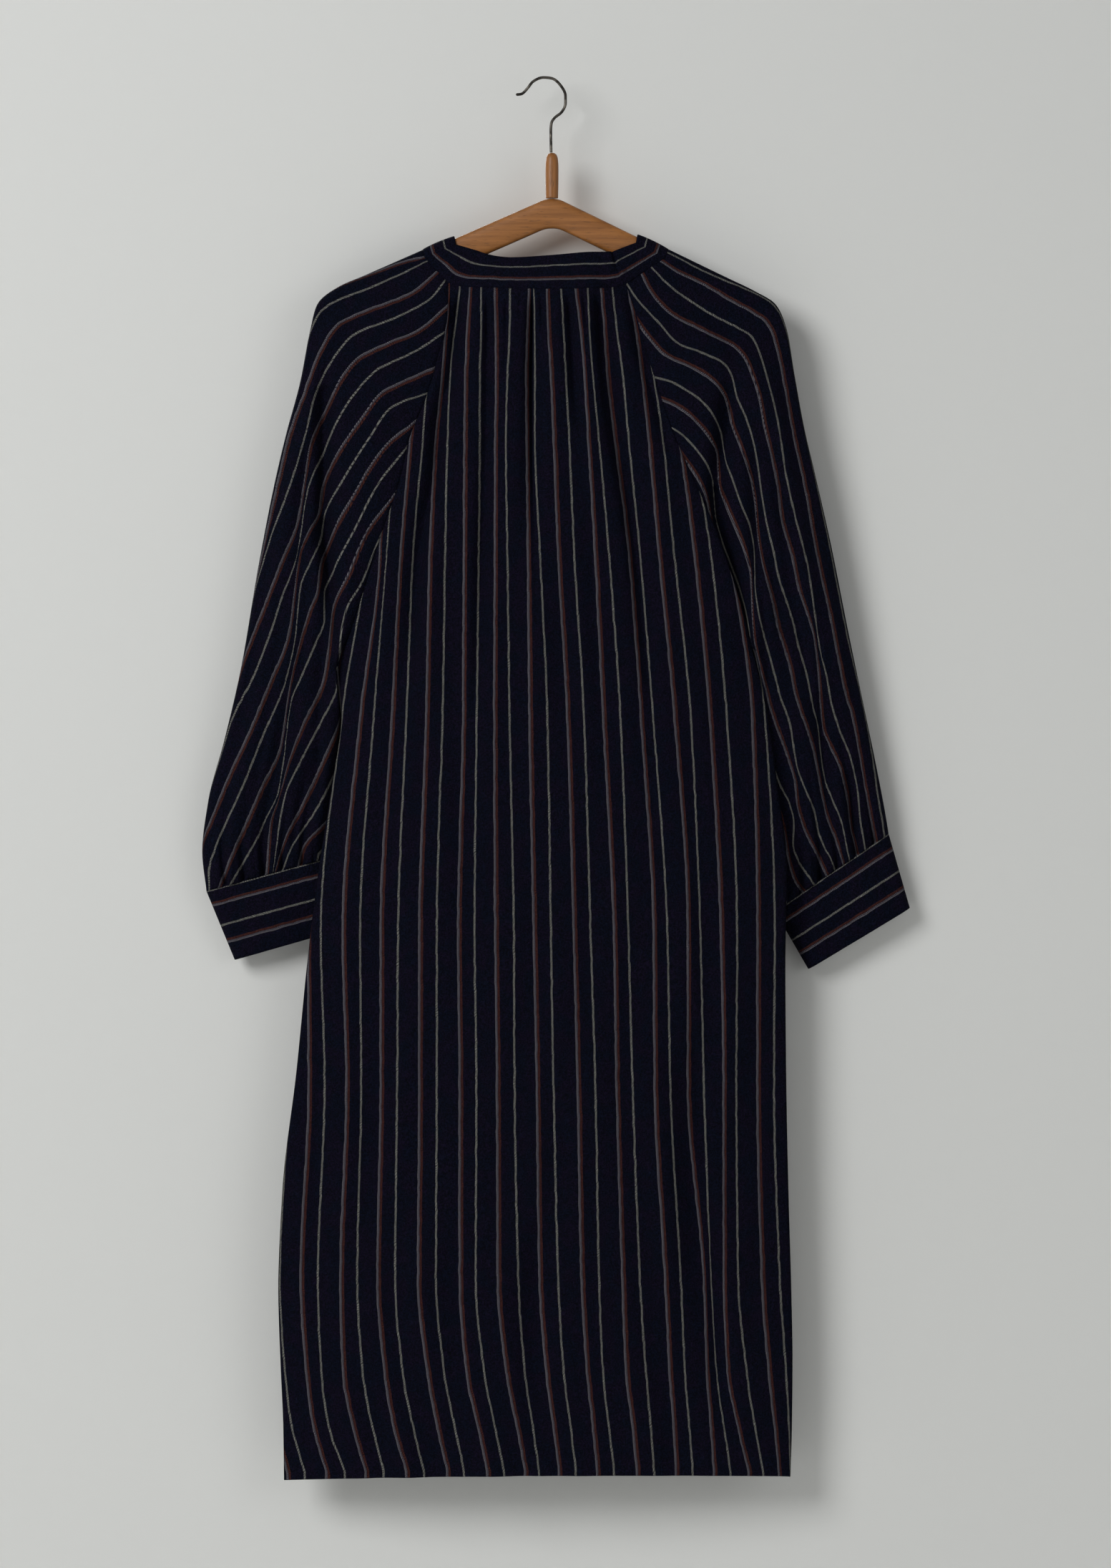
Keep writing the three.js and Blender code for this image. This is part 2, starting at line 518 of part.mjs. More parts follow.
function sleeve(name) {
  const hand = name === 'left' ? -1 : 1;
  const sections = SLEEVES[name];
  const columns = armhole(hand);
  const cuff = cuffRing(name, columns);
  const last = sections.length - 1;
  const grid = sections.map((section, r) => columns.map((column, c) => {
    if (r === 0) return column.point;
    if (r === last) return cuff.points[c].clone().addScaledVector(cuff.axis, -SEAM_SHIFT);
    const spread = smooth((r - 3) / 6);
    const s = lerp(column.s, column.even, spread);
    const point = tubePoint(section, column.side, s);
    const bend = column.point.clone().sub(tubePoint(sections[0], column.side, column.s));
    point.addScaledVector(bend, RAGLAN_LEFT[r] ?? 0);
    const inside = smooth(5 * s) * smooth(5 * (1 - s));
    point.y -= column.side * foldDepth(SLEEVE_FOLDS[name], column.side, point.x, point.z) * inside;
    const gather = last - r <= 2 && c % 2 ? CUFF_GATHER_HEIGHT * inside * (3 - last + r) * 0.5 : 0;
    point.y += column.side * gather;
    return point;
  }));
  const inwards = (r, c) => {
    if (r === 0) return columns[c].inwards;
    return r === last ? cuff.inwards[c] : null;
  };
  return clothWall(grid, { around: true, flip: hand, inwards });
}

function cuff(name) {
  const hand = name === 'left' ? -1 : 1;
  const columns = armhole(hand);
  const ring = cuffRing(name, columns);
  const hem = columns.map(({ side, even }) => tubePoint(CUFF_HEMS[name], side, even));
  const grid = [];
  for (let r = 0; r <= CUFF_STEPS; r += 1) {
    grid.push(ring.points.map((point, c) => {
      const start = point.clone().addScaledVector(ring.axis, SEAM_SHIFT);
      return start.lerp(hem[c], r / CUFF_STEPS);
    }));
  }
  return clothWall(grid, { around: true, flip: hand, inwards: (r, c) => ring.inwards[c] });
}

// ---------------------------------------------------------------- the hanger
function barTopZ(x) {
  if (x < BAR_TOP.leftX) return BAR_TOP.z - BAR_TOP.leftSlope * (BAR_TOP.leftX - x);
  if (x > BAR_TOP.rightX) return BAR_TOP.z - BAR_TOP.rightSlope * (x - BAR_TOP.rightX);
  return BAR_TOP.z;
}

// Upright section of the bar at x: flat faces with a round upper and lower edge.
function barSection({ x, drop, depth, thick }) {
  const radius = Math.min(thick, depth) / 2;
  const top = barTopZ(x) - drop;
  const points = [];
  for (let i = 0; i <= BAR_ROUND; i += 1) {
    const angle = (i / BAR_ROUND) * Math.PI;
    points.push(vec(x, -radius * Math.cos(angle), top - radius + radius * Math.sin(angle)));
  }
  for (let i = 0; i <= BAR_ROUND; i += 1) {
    const angle = (i / BAR_ROUND) * Math.PI;
    points.push(vec(x, radius * Math.cos(angle), top - depth + radius - radius * Math.sin(angle)));
  }
  return points;
}

function hangerBar() {
  const sections = BAR_RIDGE.map(barSection);
  const sides = sections[0].length;
  const positions = sections.flat().flatMap((point) => point.toArray());
  const faces = [];
  for (let k = 0; k < sections.length - 1; k += 1) {
    for (let i = 0; i < sides; i += 1) {
      const next = (i + 1) % sides;
      const [a, b] = [k * sides + i, k * sides + next];
      faces.push(a, a + sides, b + sides, a, b + sides, b);
    }
  }
  const end = (sections.length - 1) * sides;
  for (let i = 1; i < sides - 1; i += 1) {
    faces.push(0, i, i + 1);
    faces.push(end, end + i + 1, end + i);
  }
  const geometry = new THREE.BufferGeometry();
  geometry.setAttribute('position', new THREE.Float32BufferAttribute(positions, 3));
  geometry.setIndex(faces);
  geometry.computeVertexNormals();
  return geometry;
}

function hangerStem() {
  const profile = [...STEM_PROFILE].reverse().map(({ r, up }) => new THREE.Vector2(r, up));
  const closed = [new THREE.Vector2(0, profile[0].y), ...profile, new THREE.Vector2(0, 0)];
  const geometry = new THREE.LatheGeometry(closed, 16);
  geometry.rotateX(Math.PI / 2);
  geometry.translate(STEM_AXIS_X, 0, STEM_TOP);
  return geometry;
}

function hangerHook() {
  const path = new THREE.CatmullRomCurve3(HOOK_WIRE.map(({ x, z }) => vec(x, 0, z)));
  const section = new THREE.Shape();
  for (let i = 0; i < WIRE_SIDES; i += 1) {
    const angle = (i / WIRE_SIDES) * 2 * Math.PI;
    const [x, y] = [WIRE_RADIUS * Math.cos(angle), WIRE_RADIUS * Math.sin(angle)];
    if (i === 0) section.moveTo(x, y);
    else section.lineTo(x, y);
  }
  return new THREE.ExtrudeGeometry(section, {
    steps: WIRE_STEPS,
    extrudePath: path,
    bevelEnabled: false,
  });
}

// ---------------------------------------------------------------- the whole
const indigoCloth = { color: 0x14182f, roughness: 0.95, metalness: 0 };
const oiledWood = { color: 0xa8713c, roughness: 0.45, metalness: 0 };
const darkWire = { color: 0x2a2724, roughness: 0.4, metalness: 0.9 };

const PIECES = [
  ['back_body', bodyPanel('back'), indigoCloth],
  ['front_body', bodyPanel('front'), indigoCloth],
  ['sleeve_left', sleeve('left'), indigoCloth],
  ['sleeve_right', sleeve('right'), indigoCloth],
  ['cuff_left', cuff('left'), indigoCloth],
  ['cuff_right', cuff('right'), indigoCloth],
  ['neckband', neckband(), indigoCloth],
  ['hanger_bar', hangerBar(), oiledWood],
  ['hanger_stem', hangerStem(), oiledWood],
  ['hanger_hook', hangerHook(), darkWire],
];

const dress = new THREE.Group();
for (const [name, geometry, finish] of PIECES) {
  geometry.deleteAttribute('normal');
  geometry.deleteAttribute('uv');
  const merged = mergeVertices(geometry, 1e-3);
  merged.computeVertexNormals();
  const mesh = new THREE.Mesh(merged, new THREE.MeshStandardMaterial(finish));
  mesh.name = name;
  dress.add(mesh);
}

export default dress;
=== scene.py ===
import math
import random

import bpy
import numpy as np
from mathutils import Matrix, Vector


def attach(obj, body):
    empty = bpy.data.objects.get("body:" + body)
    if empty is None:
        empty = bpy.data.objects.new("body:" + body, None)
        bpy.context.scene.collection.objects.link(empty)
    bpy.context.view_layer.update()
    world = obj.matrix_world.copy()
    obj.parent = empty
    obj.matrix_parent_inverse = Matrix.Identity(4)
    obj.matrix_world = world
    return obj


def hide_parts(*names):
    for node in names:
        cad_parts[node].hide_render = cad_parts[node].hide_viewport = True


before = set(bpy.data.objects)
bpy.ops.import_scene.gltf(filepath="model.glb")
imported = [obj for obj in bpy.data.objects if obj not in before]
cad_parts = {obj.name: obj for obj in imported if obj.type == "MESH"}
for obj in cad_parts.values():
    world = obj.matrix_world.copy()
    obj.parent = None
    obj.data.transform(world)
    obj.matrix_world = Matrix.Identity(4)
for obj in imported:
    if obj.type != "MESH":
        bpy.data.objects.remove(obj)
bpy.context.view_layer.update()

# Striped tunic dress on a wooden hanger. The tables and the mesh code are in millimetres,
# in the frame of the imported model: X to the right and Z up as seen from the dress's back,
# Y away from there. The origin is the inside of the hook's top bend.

bl_info = {
    "name": "Striped tunic dress",
    "version": (1, 0, 0),
    "blender": (4, 5, 0),
    "location": "View3D > Sidebar > Dress",
    "description": "Builds a striped tunic dress on a wooden hanger, with its stage",
    "category": "Add Mesh",
}

MM = 0.001


def to_linear(hex_colour):
    """Linear RGBA of an sRGB hex colour."""
    channels = [int(hex_colour[i:i + 2], 16) / 255 for i in (1, 3, 5)]
    return tuple(c / 12.92 if c <= 0.04045 else ((c + 0.055) / 1.055) ** 2.4
                 for c in channels) + (1.0,)


# ------------------------------------------------------------------ sizes of the solids
CLOTH = 1.6  # wall of the solids' cloth; the scene's own cloth is thinner
SEAM_SHIFT = 0.19  # how far each of two sewn pieces stays back from their seam
BAR_THICK = 11.6
ARCH = BAR_THICK / 2 + 0.8 + CLOTH  # outer radius of the cloth over the bar
SPRING = 0.08  # share of the way to the neck's corner where cloth leaves the bar
CROWN_POWER = 0.65
FILL_OUT = 0.3
UNDERARM = 9  # level where raglan seams end and side seams start
FRONT_HEM_DROP = 6
HEM_RISE = 5

# Body, neck to hem: leftX, leftZ, rightX, rightZ, backY, frontY, backCrown, frontCrown,
# share of the neck gathers left.
BODY_LEVELS = np.array([
    [-85.8, -187.0, 75.2, -187.7, -15, 15, 0, 0, 0],
    [-86.5, -215.6, 84.5, -215.6, -16, 15, 14, 8, 1],
    [-95.5, -254.6, 95.5, -254.6, -17.5, 16, 11, 9, 0.8],
    [-106.0, -291.0, 107.2, -291.0, -18.5, 16, 10, 9, 0.55],
    [-120.9, -327.4, 120.2, -327.4, -19, 15, 10, 9, 0.35],
    [-130.3, -367.1, 137.8, -367.1, -19, 13, 11, 10, 0.15],
    [-145.0, -410.6, 156.7, -410.6, -18.5, 10, 12, 12, 0],
    [-159.9, -457.4, 172.9, -457.4, -17, 5, 14, 16, 0],
    [-173.6, -500.3, 183.3, -491.2, -14.5, -2, 17, 21, 0],
    [-185.9, -536.1, 190.5, -517.9, -10, -10, 22, 28, 0],
    [-183.0, -580.3, 204.8, -580.3, -10, -10, 23, 28, 0],
    [-193.1, -651.1, 213.8, -649.2, -10, -10, 23, 27, 0],
    [-203.5, -717.4, 221.7, -717.4, -10, -10, 23, 27, 0],
    [-213.8, -800.6, 220.3, -808.4, -10, -10, 23, 27, 0],
    [-224.2, -904.6, 221.0, -904.6, -10, -10, 24, 28, 0],
    [-236.6, -1008.6, 223.0, -1008.6, -10, -10, 24, 28, 0],
    [-240.5, -1099.6, 225.6, -1099.6, -10, -10, 24, 29, 0],
    [-238.6, -1164.6, 226.8, -1164.6, -10, -10, 24, 30, 0],
    [-236.0, -1225.6, 226.2, -1225.6, -10, -10, 24, 31, 0],
    [-235.3, -1274.5, 224.9, -1271.2, -10, -10, 24, 32, 0],
])
NECK_DIP_LEFT = [1, 0.62, 0.3, 0.12]
FRONT_DIP_LEFT = [1, 0.8, 0.6, 0.42, 0.26, 0.12]

# Ring of the neck, from the middle of the back over the left shoulder: sewn edge X, Y, Z
# and free edge X, Y, Z.
NECK_PLACES = np.array([
    [-5.2, -30, -193.5, 0.7, -16, -162.3],
    [-44.9, -27, -192.2, -33.1, -15, -163.6],
    [-85.8, -15, -187.0, -59.1, -12, -157.8],
    [-109.2, 0, -155.5, -81.2, 0, -143.2],
    [-86.5, 15, -215.6, -66.3, 13, -181.8],
    [-49.4, 21, -252.7, -35.8, 23, -215.6],
    [-5.2, 23, -263.1, 0.7, 27, -226.0],
    [39.0, 21, -252.7, 39.6, 23, -215.6],
    [84.5, 15, -215.6, 67.0, 13, -180.5],
    [114.4, 0, -155.2, 86.5, 0, -141.6],
    [75.2, -15, -187.7, 67.0, -12, -157.1],
    [34.5, -27, -192.9, 37.7, -15, -159.1],
])
LEFT_RIDGE, RIGHT_RIDGE = 3, 9

# Sleeves, neck to cuff: outer X, Y, Z, inner X, Y, Z, half of the thickness.
SLEEVES = {
    "left": np.array([
        [-109.2, 0, -155.5, -185.9, -10, -536.1, 9],
        [-135.8, 0, -167.2, -187.2, -8.5, -539.3, 13],
        [-161.8, 0, -178.6, -187.6, -7, -543.2, 16],
        [-186.6, 0, -189.5, -187.8, -5, -547.1, 17],
        [-205.4, 0, -205.0, -187.6, -2.5, -551.7, 18],
        [-212.6, 0, -231.9, -187.0, 0.5, -557.5, 18],
        [-221.0, 1, -275.4, -185.5, 4, -566.0, 19],
        [-234.0, 2, -323.5, -184.0, 8, -577.7, 20],
        [-245.1, 4, -370.3, -183.0, 11, -590.0, 20],
        [-259.4, 7, -443.1, -183.5, 13, -608.9, 20],
        [-275.6, 10, -536.7, -186.5, 15, -632.9, 19],
        [-290.7, 13, -601.1, -189.0, 17, -656.3, 18],
        [-305.7, 16, -657.0, -192.0, 19, -677.1, 17],
        [-311.4, 18, -703.1, -195.0, 20, -693.4, 14],
        [-307.6, 20, -740.2, -197.0, 21, -710.3, 11],
    ]),
    "right": np.array([
        [114.4, 0, -155.2, 190.5, -10, -517.9, 9],
        [140.4, 0, -167.8, 192.6, -8.5, -521.8, 13],
        [166.4, 0, -180.4, 193.4, -7, -526.3, 16],
        [192.4, 0, -193.0, 194.6, -5, -531.5, 17],
        [212.0, 0, -205.5, 195.6, -2.5, -536.7, 18],
        [222.0, 0, -228.6, 196.8, 0.5, -543.2, 18],
        [228.8, 1, -267.6, 198.0, 4, -553.6, 19],
        [237.2, 2, -313.8, 199.0, 8, -569.2, 20],
        [248.7, 4, -363.2, 200.0, 11, -586.1, 20],
        [262.4, 7, -423.0, 202.0, 13, -608.9, 20],
        [278.2, 10, -501.6, 206.0, 15, -638.1, 19],
        [291.9, 13, -566.6, 208.0, 17, -667.4, 18],
        [303.6, 16, -621.9, 210.0, 19, -696.6, 17],
        [312.5, 18, -667.4, 211.6, 20, -727.8, 14],
        [315.9, 20, -687.5, 211.9, 21, -758.4, 11],
    ]),
}
CUFF_HEMS = {
    "left": np.array([-282.1, 23, -802.6, -177.5, 25, -772.7, 11]),
    "right": np.array([335.4, 23, -755.1, 242.5, 25, -811.0, 11]),
}
RAGLAN_LEFT = [1, 0.82, 0.6, 0.38, 0.22, 0.12, 0.06, 0.02, 0, 0, 0, 0, 0, 0, 0]

# Folds that the solids have too: side, top X, top Z, end X, end Z, depth, width.
BODY_FOLDS = [
    (-1, -9.8, -196, -9.8, -440, 9, 8),
    (-1, -80, -205, -106, -430, 5, 9),
    (-1, 54, -220, 84, -440, 5, 9),
    (-1, 128, -880, 159, -1240, 9, 14),
    (-1, -80, -1060, -80, -1330, 5, 17),
    (-1, -6.5, -1040, -6.5, -1330, 6, 17),
    (-1, -150, -700, -165, -1180, 4, 18),
    (1, -3, -275, -3, -560, 8, 10),
    (1, -60, -270, -88, -520, 5, 11),
    (1, 62, -270, 92, -540, 5, 11),
    (1, -120, -860, -140, -1330, 8, 16),
    (1, 40, -980, 46, -1330, 7, 17),
]
SLEEVE_FOLDS = {
    "left": [
        (-1, -197, -280, -199, -440, 9, 8),
        (-1, -201, -400, -186, -540, 9, 8),
        (-1, -215, -330, -229, -560, 5, 7),
        (-1, -231, -540, -251, -735, 6, 8),
        (-1, -206, -610, -232, -725, 7, 8),
        (1, -210, -300, -232, -640, 8, 12),
        (1, -262, -560, -280, -730, 6, 10),
    ],
    "right": [
        (-1, 169, -280, 157, -410, 9, 8),
        (-1, 157, -370, 193, -520, 9, 8),
        (-1, 193, -340, 193, -500, 5, 7),
        (-1, 250, -560, 264, -680, 6, 8),
        (-1, 279, -630, 285, -710, 5, 7),
        (1, 212, -300, 238, -640, 8, 12),
        (1, 272, -560, 286, -700, 6, 10),
    ],
}

BODY_STRIPES = [
    (-194, [None, None, None, None, None, None, None, -75.4, -65.6, -56, -42.8, -29.7, -11.6, -8.5,
     4.4, 16.4, 30.3, 40.6, 53.5, 63.1, 78.9, None, None, None, None, None]),
    (-229.1, [None, None, None, None, None, None, -87.6, -80.1, -67.9, -56, -42.1, -30.1, -13, -7.6,
     5.6, 18.7, 34.9, 42, 56.6, 66.9, 85.2, 95.3, None, None, None, None]),
    (-272.6, [None, None, None, None, None, -105, -90.6, -84.4, -69.4, -57.1, -41.6, -32.2,
     -14.2, -7.5, 8.2, 20.8, 38.7, 45.3, 59.6, 72.6, 90.9, 100.9, None, None, None, None]),
    (-331.8, [None, None, None, None, None, -109, -96.9, -86.7, -70.1, -57.1, -42.3, -33.6,
     -13.6, -7.5, 10.8, 23.9, 42.2, 50.9, 66.6, 77.9, 97, 109.2, 124.9, None, None, None]),
    (-433.6, [None, None, -147, -142, -128.2, -118, -101.7, -88.5, -70.6, -58.2, -42.6, -32.2,
     -12.5, -2.7, 14.8, 28.4, 48.2, 59.8, 79, 88, 106, 118.9, 138.2, 152.3, 170.3, None]),
    (-580.6, [None, -183, -164.8, -153.4, -136, -123.7, -104.6, -90.9, -71.3, -59.9, -43, -30.2,
     -11.1, 4, 23.1, 37.2, 55.5, 70.1, 89.7, 99.7, 120.2, 133.9, 152.1, 166.7, 190.9, None]),
    (-774.6, [None, -201.8, -180.6, -165.8, -146.1, -131.3, -110.8, -96, -75.6, -61.9, -42.1, -26.3,
     -7.3, 7.2, 29, 43.1, 65.3, 77.3, 101.3, 112.6, 132.3, 142.5, 162.2, 176, 195.7, 210.5]),
    (-915.5, [-211.6, -198.2, -177.1, -164.8, -146.1, -132, -110.8, -96, -74.2, -60.1, -40.4, -25.6,
     -4.4, 9.7, 32.6, 47.4, 67.8, 81.2, 102.3, 115.4, 132.3, 146, 164.7, 175.3, 195.7, 209.8]),
    (-1091.7, [-218.7, -204.2, -182.4, -168.3, -148.9, -133.8, -111.9, -96.8, -74.2, -60.8, -39.7,
     -22.1, -2, 13.9, 36.1, 50.9, 73.1, 87.9, 111.8, 124.9, 147.1, 152.4, 164.7, 177, 199.9,
     215.1]),
    (-1179.8, [-213.4, -200.7, -179.9, -163, -141.9, -126.7, -103.1, -89, -67.9, -52.7, -31.6,
     -16.1, 4.4, 19.2, 41.4, 54.4, 76.6, 93.5, 116.1, 128.8, 149.9, 157.7, 168.2, 185.1, 206.3,
     221.1]),
    (-1224, [-207.7, -194.7, -171.8, -155.2, -134.8, -118.2, -95.3, -80.5, -58.3, -44.2, -23.1,
     -9.7, 10, 24.8, 46, 59.3, 81.9, 97.4, 119.2, 132.3, 153.1, 163.6, 177, 191.8, 211.2, 223.5]),
    (-1268, [-195.4, -179.6, -159.5, -144.3, -122.5, -107.7, -85.5, -71.4, -49.2, -35.1, -15, -3.7,
     15.7, 29.7, 50.2, 64.3, 86.1, 100.6, 121.7, 135.8, 155.9, 170, 187.6, 199.9, 215.1, 225.3]),
]
LEFT_GUIDES = [
        (-35.7, [(-106.7, -163.8), (-129.3, -168.4), (-149.6, -175.3), (-170.1, -181.7), (-190.7,
           -188.2)]),
        (-20.7, [(-104.9, -166.1), (-125.2, -176.6), (-165, -194.1), (-180.4, -199.7), (-195.8,
           -207.4), (-204.8, -216.4), (-211.3, -229.3)]),
        (0, [(-93.6, -175.1), (-118.7, -196.7), (-159.9, -213.1), (-185.6, -225.4), (-203.6,
           -253.7), (-215.1, -284.5), (-229.3, -323.1), (-237, -353.9), (-240.8, -370.6)]),
        (15, [(-86.6, -181.7), (-103.3, -202.3), (-134.2, -219), (-170.1, -233.1), (-190.7, -256.3),
           (-207.4, -289.7), (-215.1, -323.1), (-229.3, -369.4), (-247.2, -415.6), (-260.1,
           -455.5)]),
        (35.7, [(-84.8, -207.4), (-113.6, -231.9), (-144.4, -244.7), (-170.1, -258.8), (-195.8,
           -300), (-211.3, -336), (-215.1, -361.7), (-221.5, -402.8), (-237, -441.3), (-252.4,
           -479.9), (-275.5, -536.4)]),
        (50.7, [(-89.2, -231.9), (-118.7, -251.1), (-149.6, -266), (-170.1, -287.1), (-190.7,
           -320.5), (-201, -343.7), (-213.8, -374.5), (-217.7, -395.1), (-222.8, -433.6), (-237,
           -472.2), (-249.8, -510.7), (-264.7, -546.7), (-274, -563.9), (-284.2, -584.4), (-296.4,
           -619.9)]),
        (71.4, [(-98.2, -265.3), (-129, -279.4), (-144.4, -287.1), (-165, -312.8), (-190.7, -351.4),
           (-199.7, -371.9), (-202.3, -395.1), (-213.8, -415.6), (-221.5, -433.6), (-225.4, -472.2),
           (-230.5, -508.1), (-246, -546.7), (-264.7, -591.9), (-284.2, -632.9), (-306.6, -685.2),
           (-309.4, -690.7)]),
        (86.4, [(-103.3, -287.1), (-136.7, -300), (-157.3, -328.2), (-183, -369.4), (-198.9,
           -397.6), (-202.3, -420.8), (-211.3, -441.3), (-220.3, -461.9), (-225.4, -510.7), (-233.1,
           -546.7), (-255.3, -599.3), (-274, -646), (-290.8, -681.4), (-300.1, -703.8), (-304.8,
           -722.5), (-304.8, -735.5)]),
        (107.1, [(-116.7, -315.4), (-144.4, -338.5), (-170.1, -379.6), (-190.7, -415.6), (-201,
           -441.3), (-203.6, -467), (-211.3, -485), (-219, -508.1), (-228.7, -546.7), (-237.6,
           -606.8), (-257.2, -649.7), (-268.4, -675.8), (-279.6, -700.1), (-289.8, -724.3)]),
        (122.1, [(-123.9, -337.2), (-152.2, -374.5), (-170.1, -410.5), (-190.7, -449), (-198.9,
           -469.6), (-198.4, -492.7), (-206.1, -513.3), (-220.8, -546.7), (-229.2, -565.8), (-232.9,
           -588.1), (-236.3, -621.7), (-241.3, -651.6), (-252.5, -674), (-260, -690.7), (-273,
           -713.1)]),
        (142.8, [(-135.4, -382.2), (-159.9, -415.6), (-175.3, -451.6), (-190.7,
           -485), (-193.8, -518.4), (-198.4, -547), (-218, -590), (-232.9, -627.3), (-237.6,
           -644.1), (-242.3, -659), (-247.9, -677.7), (-249.7, -703.8)]),
        (157.8, [(-135.4, -392.5), (-152.2, -428.5), (-163.7, -458), (-178.4, -485), (-183.5,
           -510.7), (-185.3, -547), (-205, -591.9), (-220.8, -621.7), (-234.8, -651.6), (-239.5,
           -674), (-243.2, -701.9)]),
        (178.5, [(-144.4, -433.6), (-157.3, -472.2), (-167.6, -510.7), (-172.7, -536.4), (-181.6,
           -578.8), (-201.2, -625.5), (-219.9, -664.6), (-233.9, -690.7), (-239.5, -705.7), (-244.1,
           -720.6)]),
        (193.5, [(-169.5, -580.7), (-184.4, -621.7), (-205, -662.8), (-219.9, -685.2), (-229.2,
           -700.1), (-237.6, -720.6)]),
        (214.2, [(-160.2, -618), (-177, -651.6), (-197.5, -677.7), (-218, -700.1), (-222.7,
           -718.7)]),
]
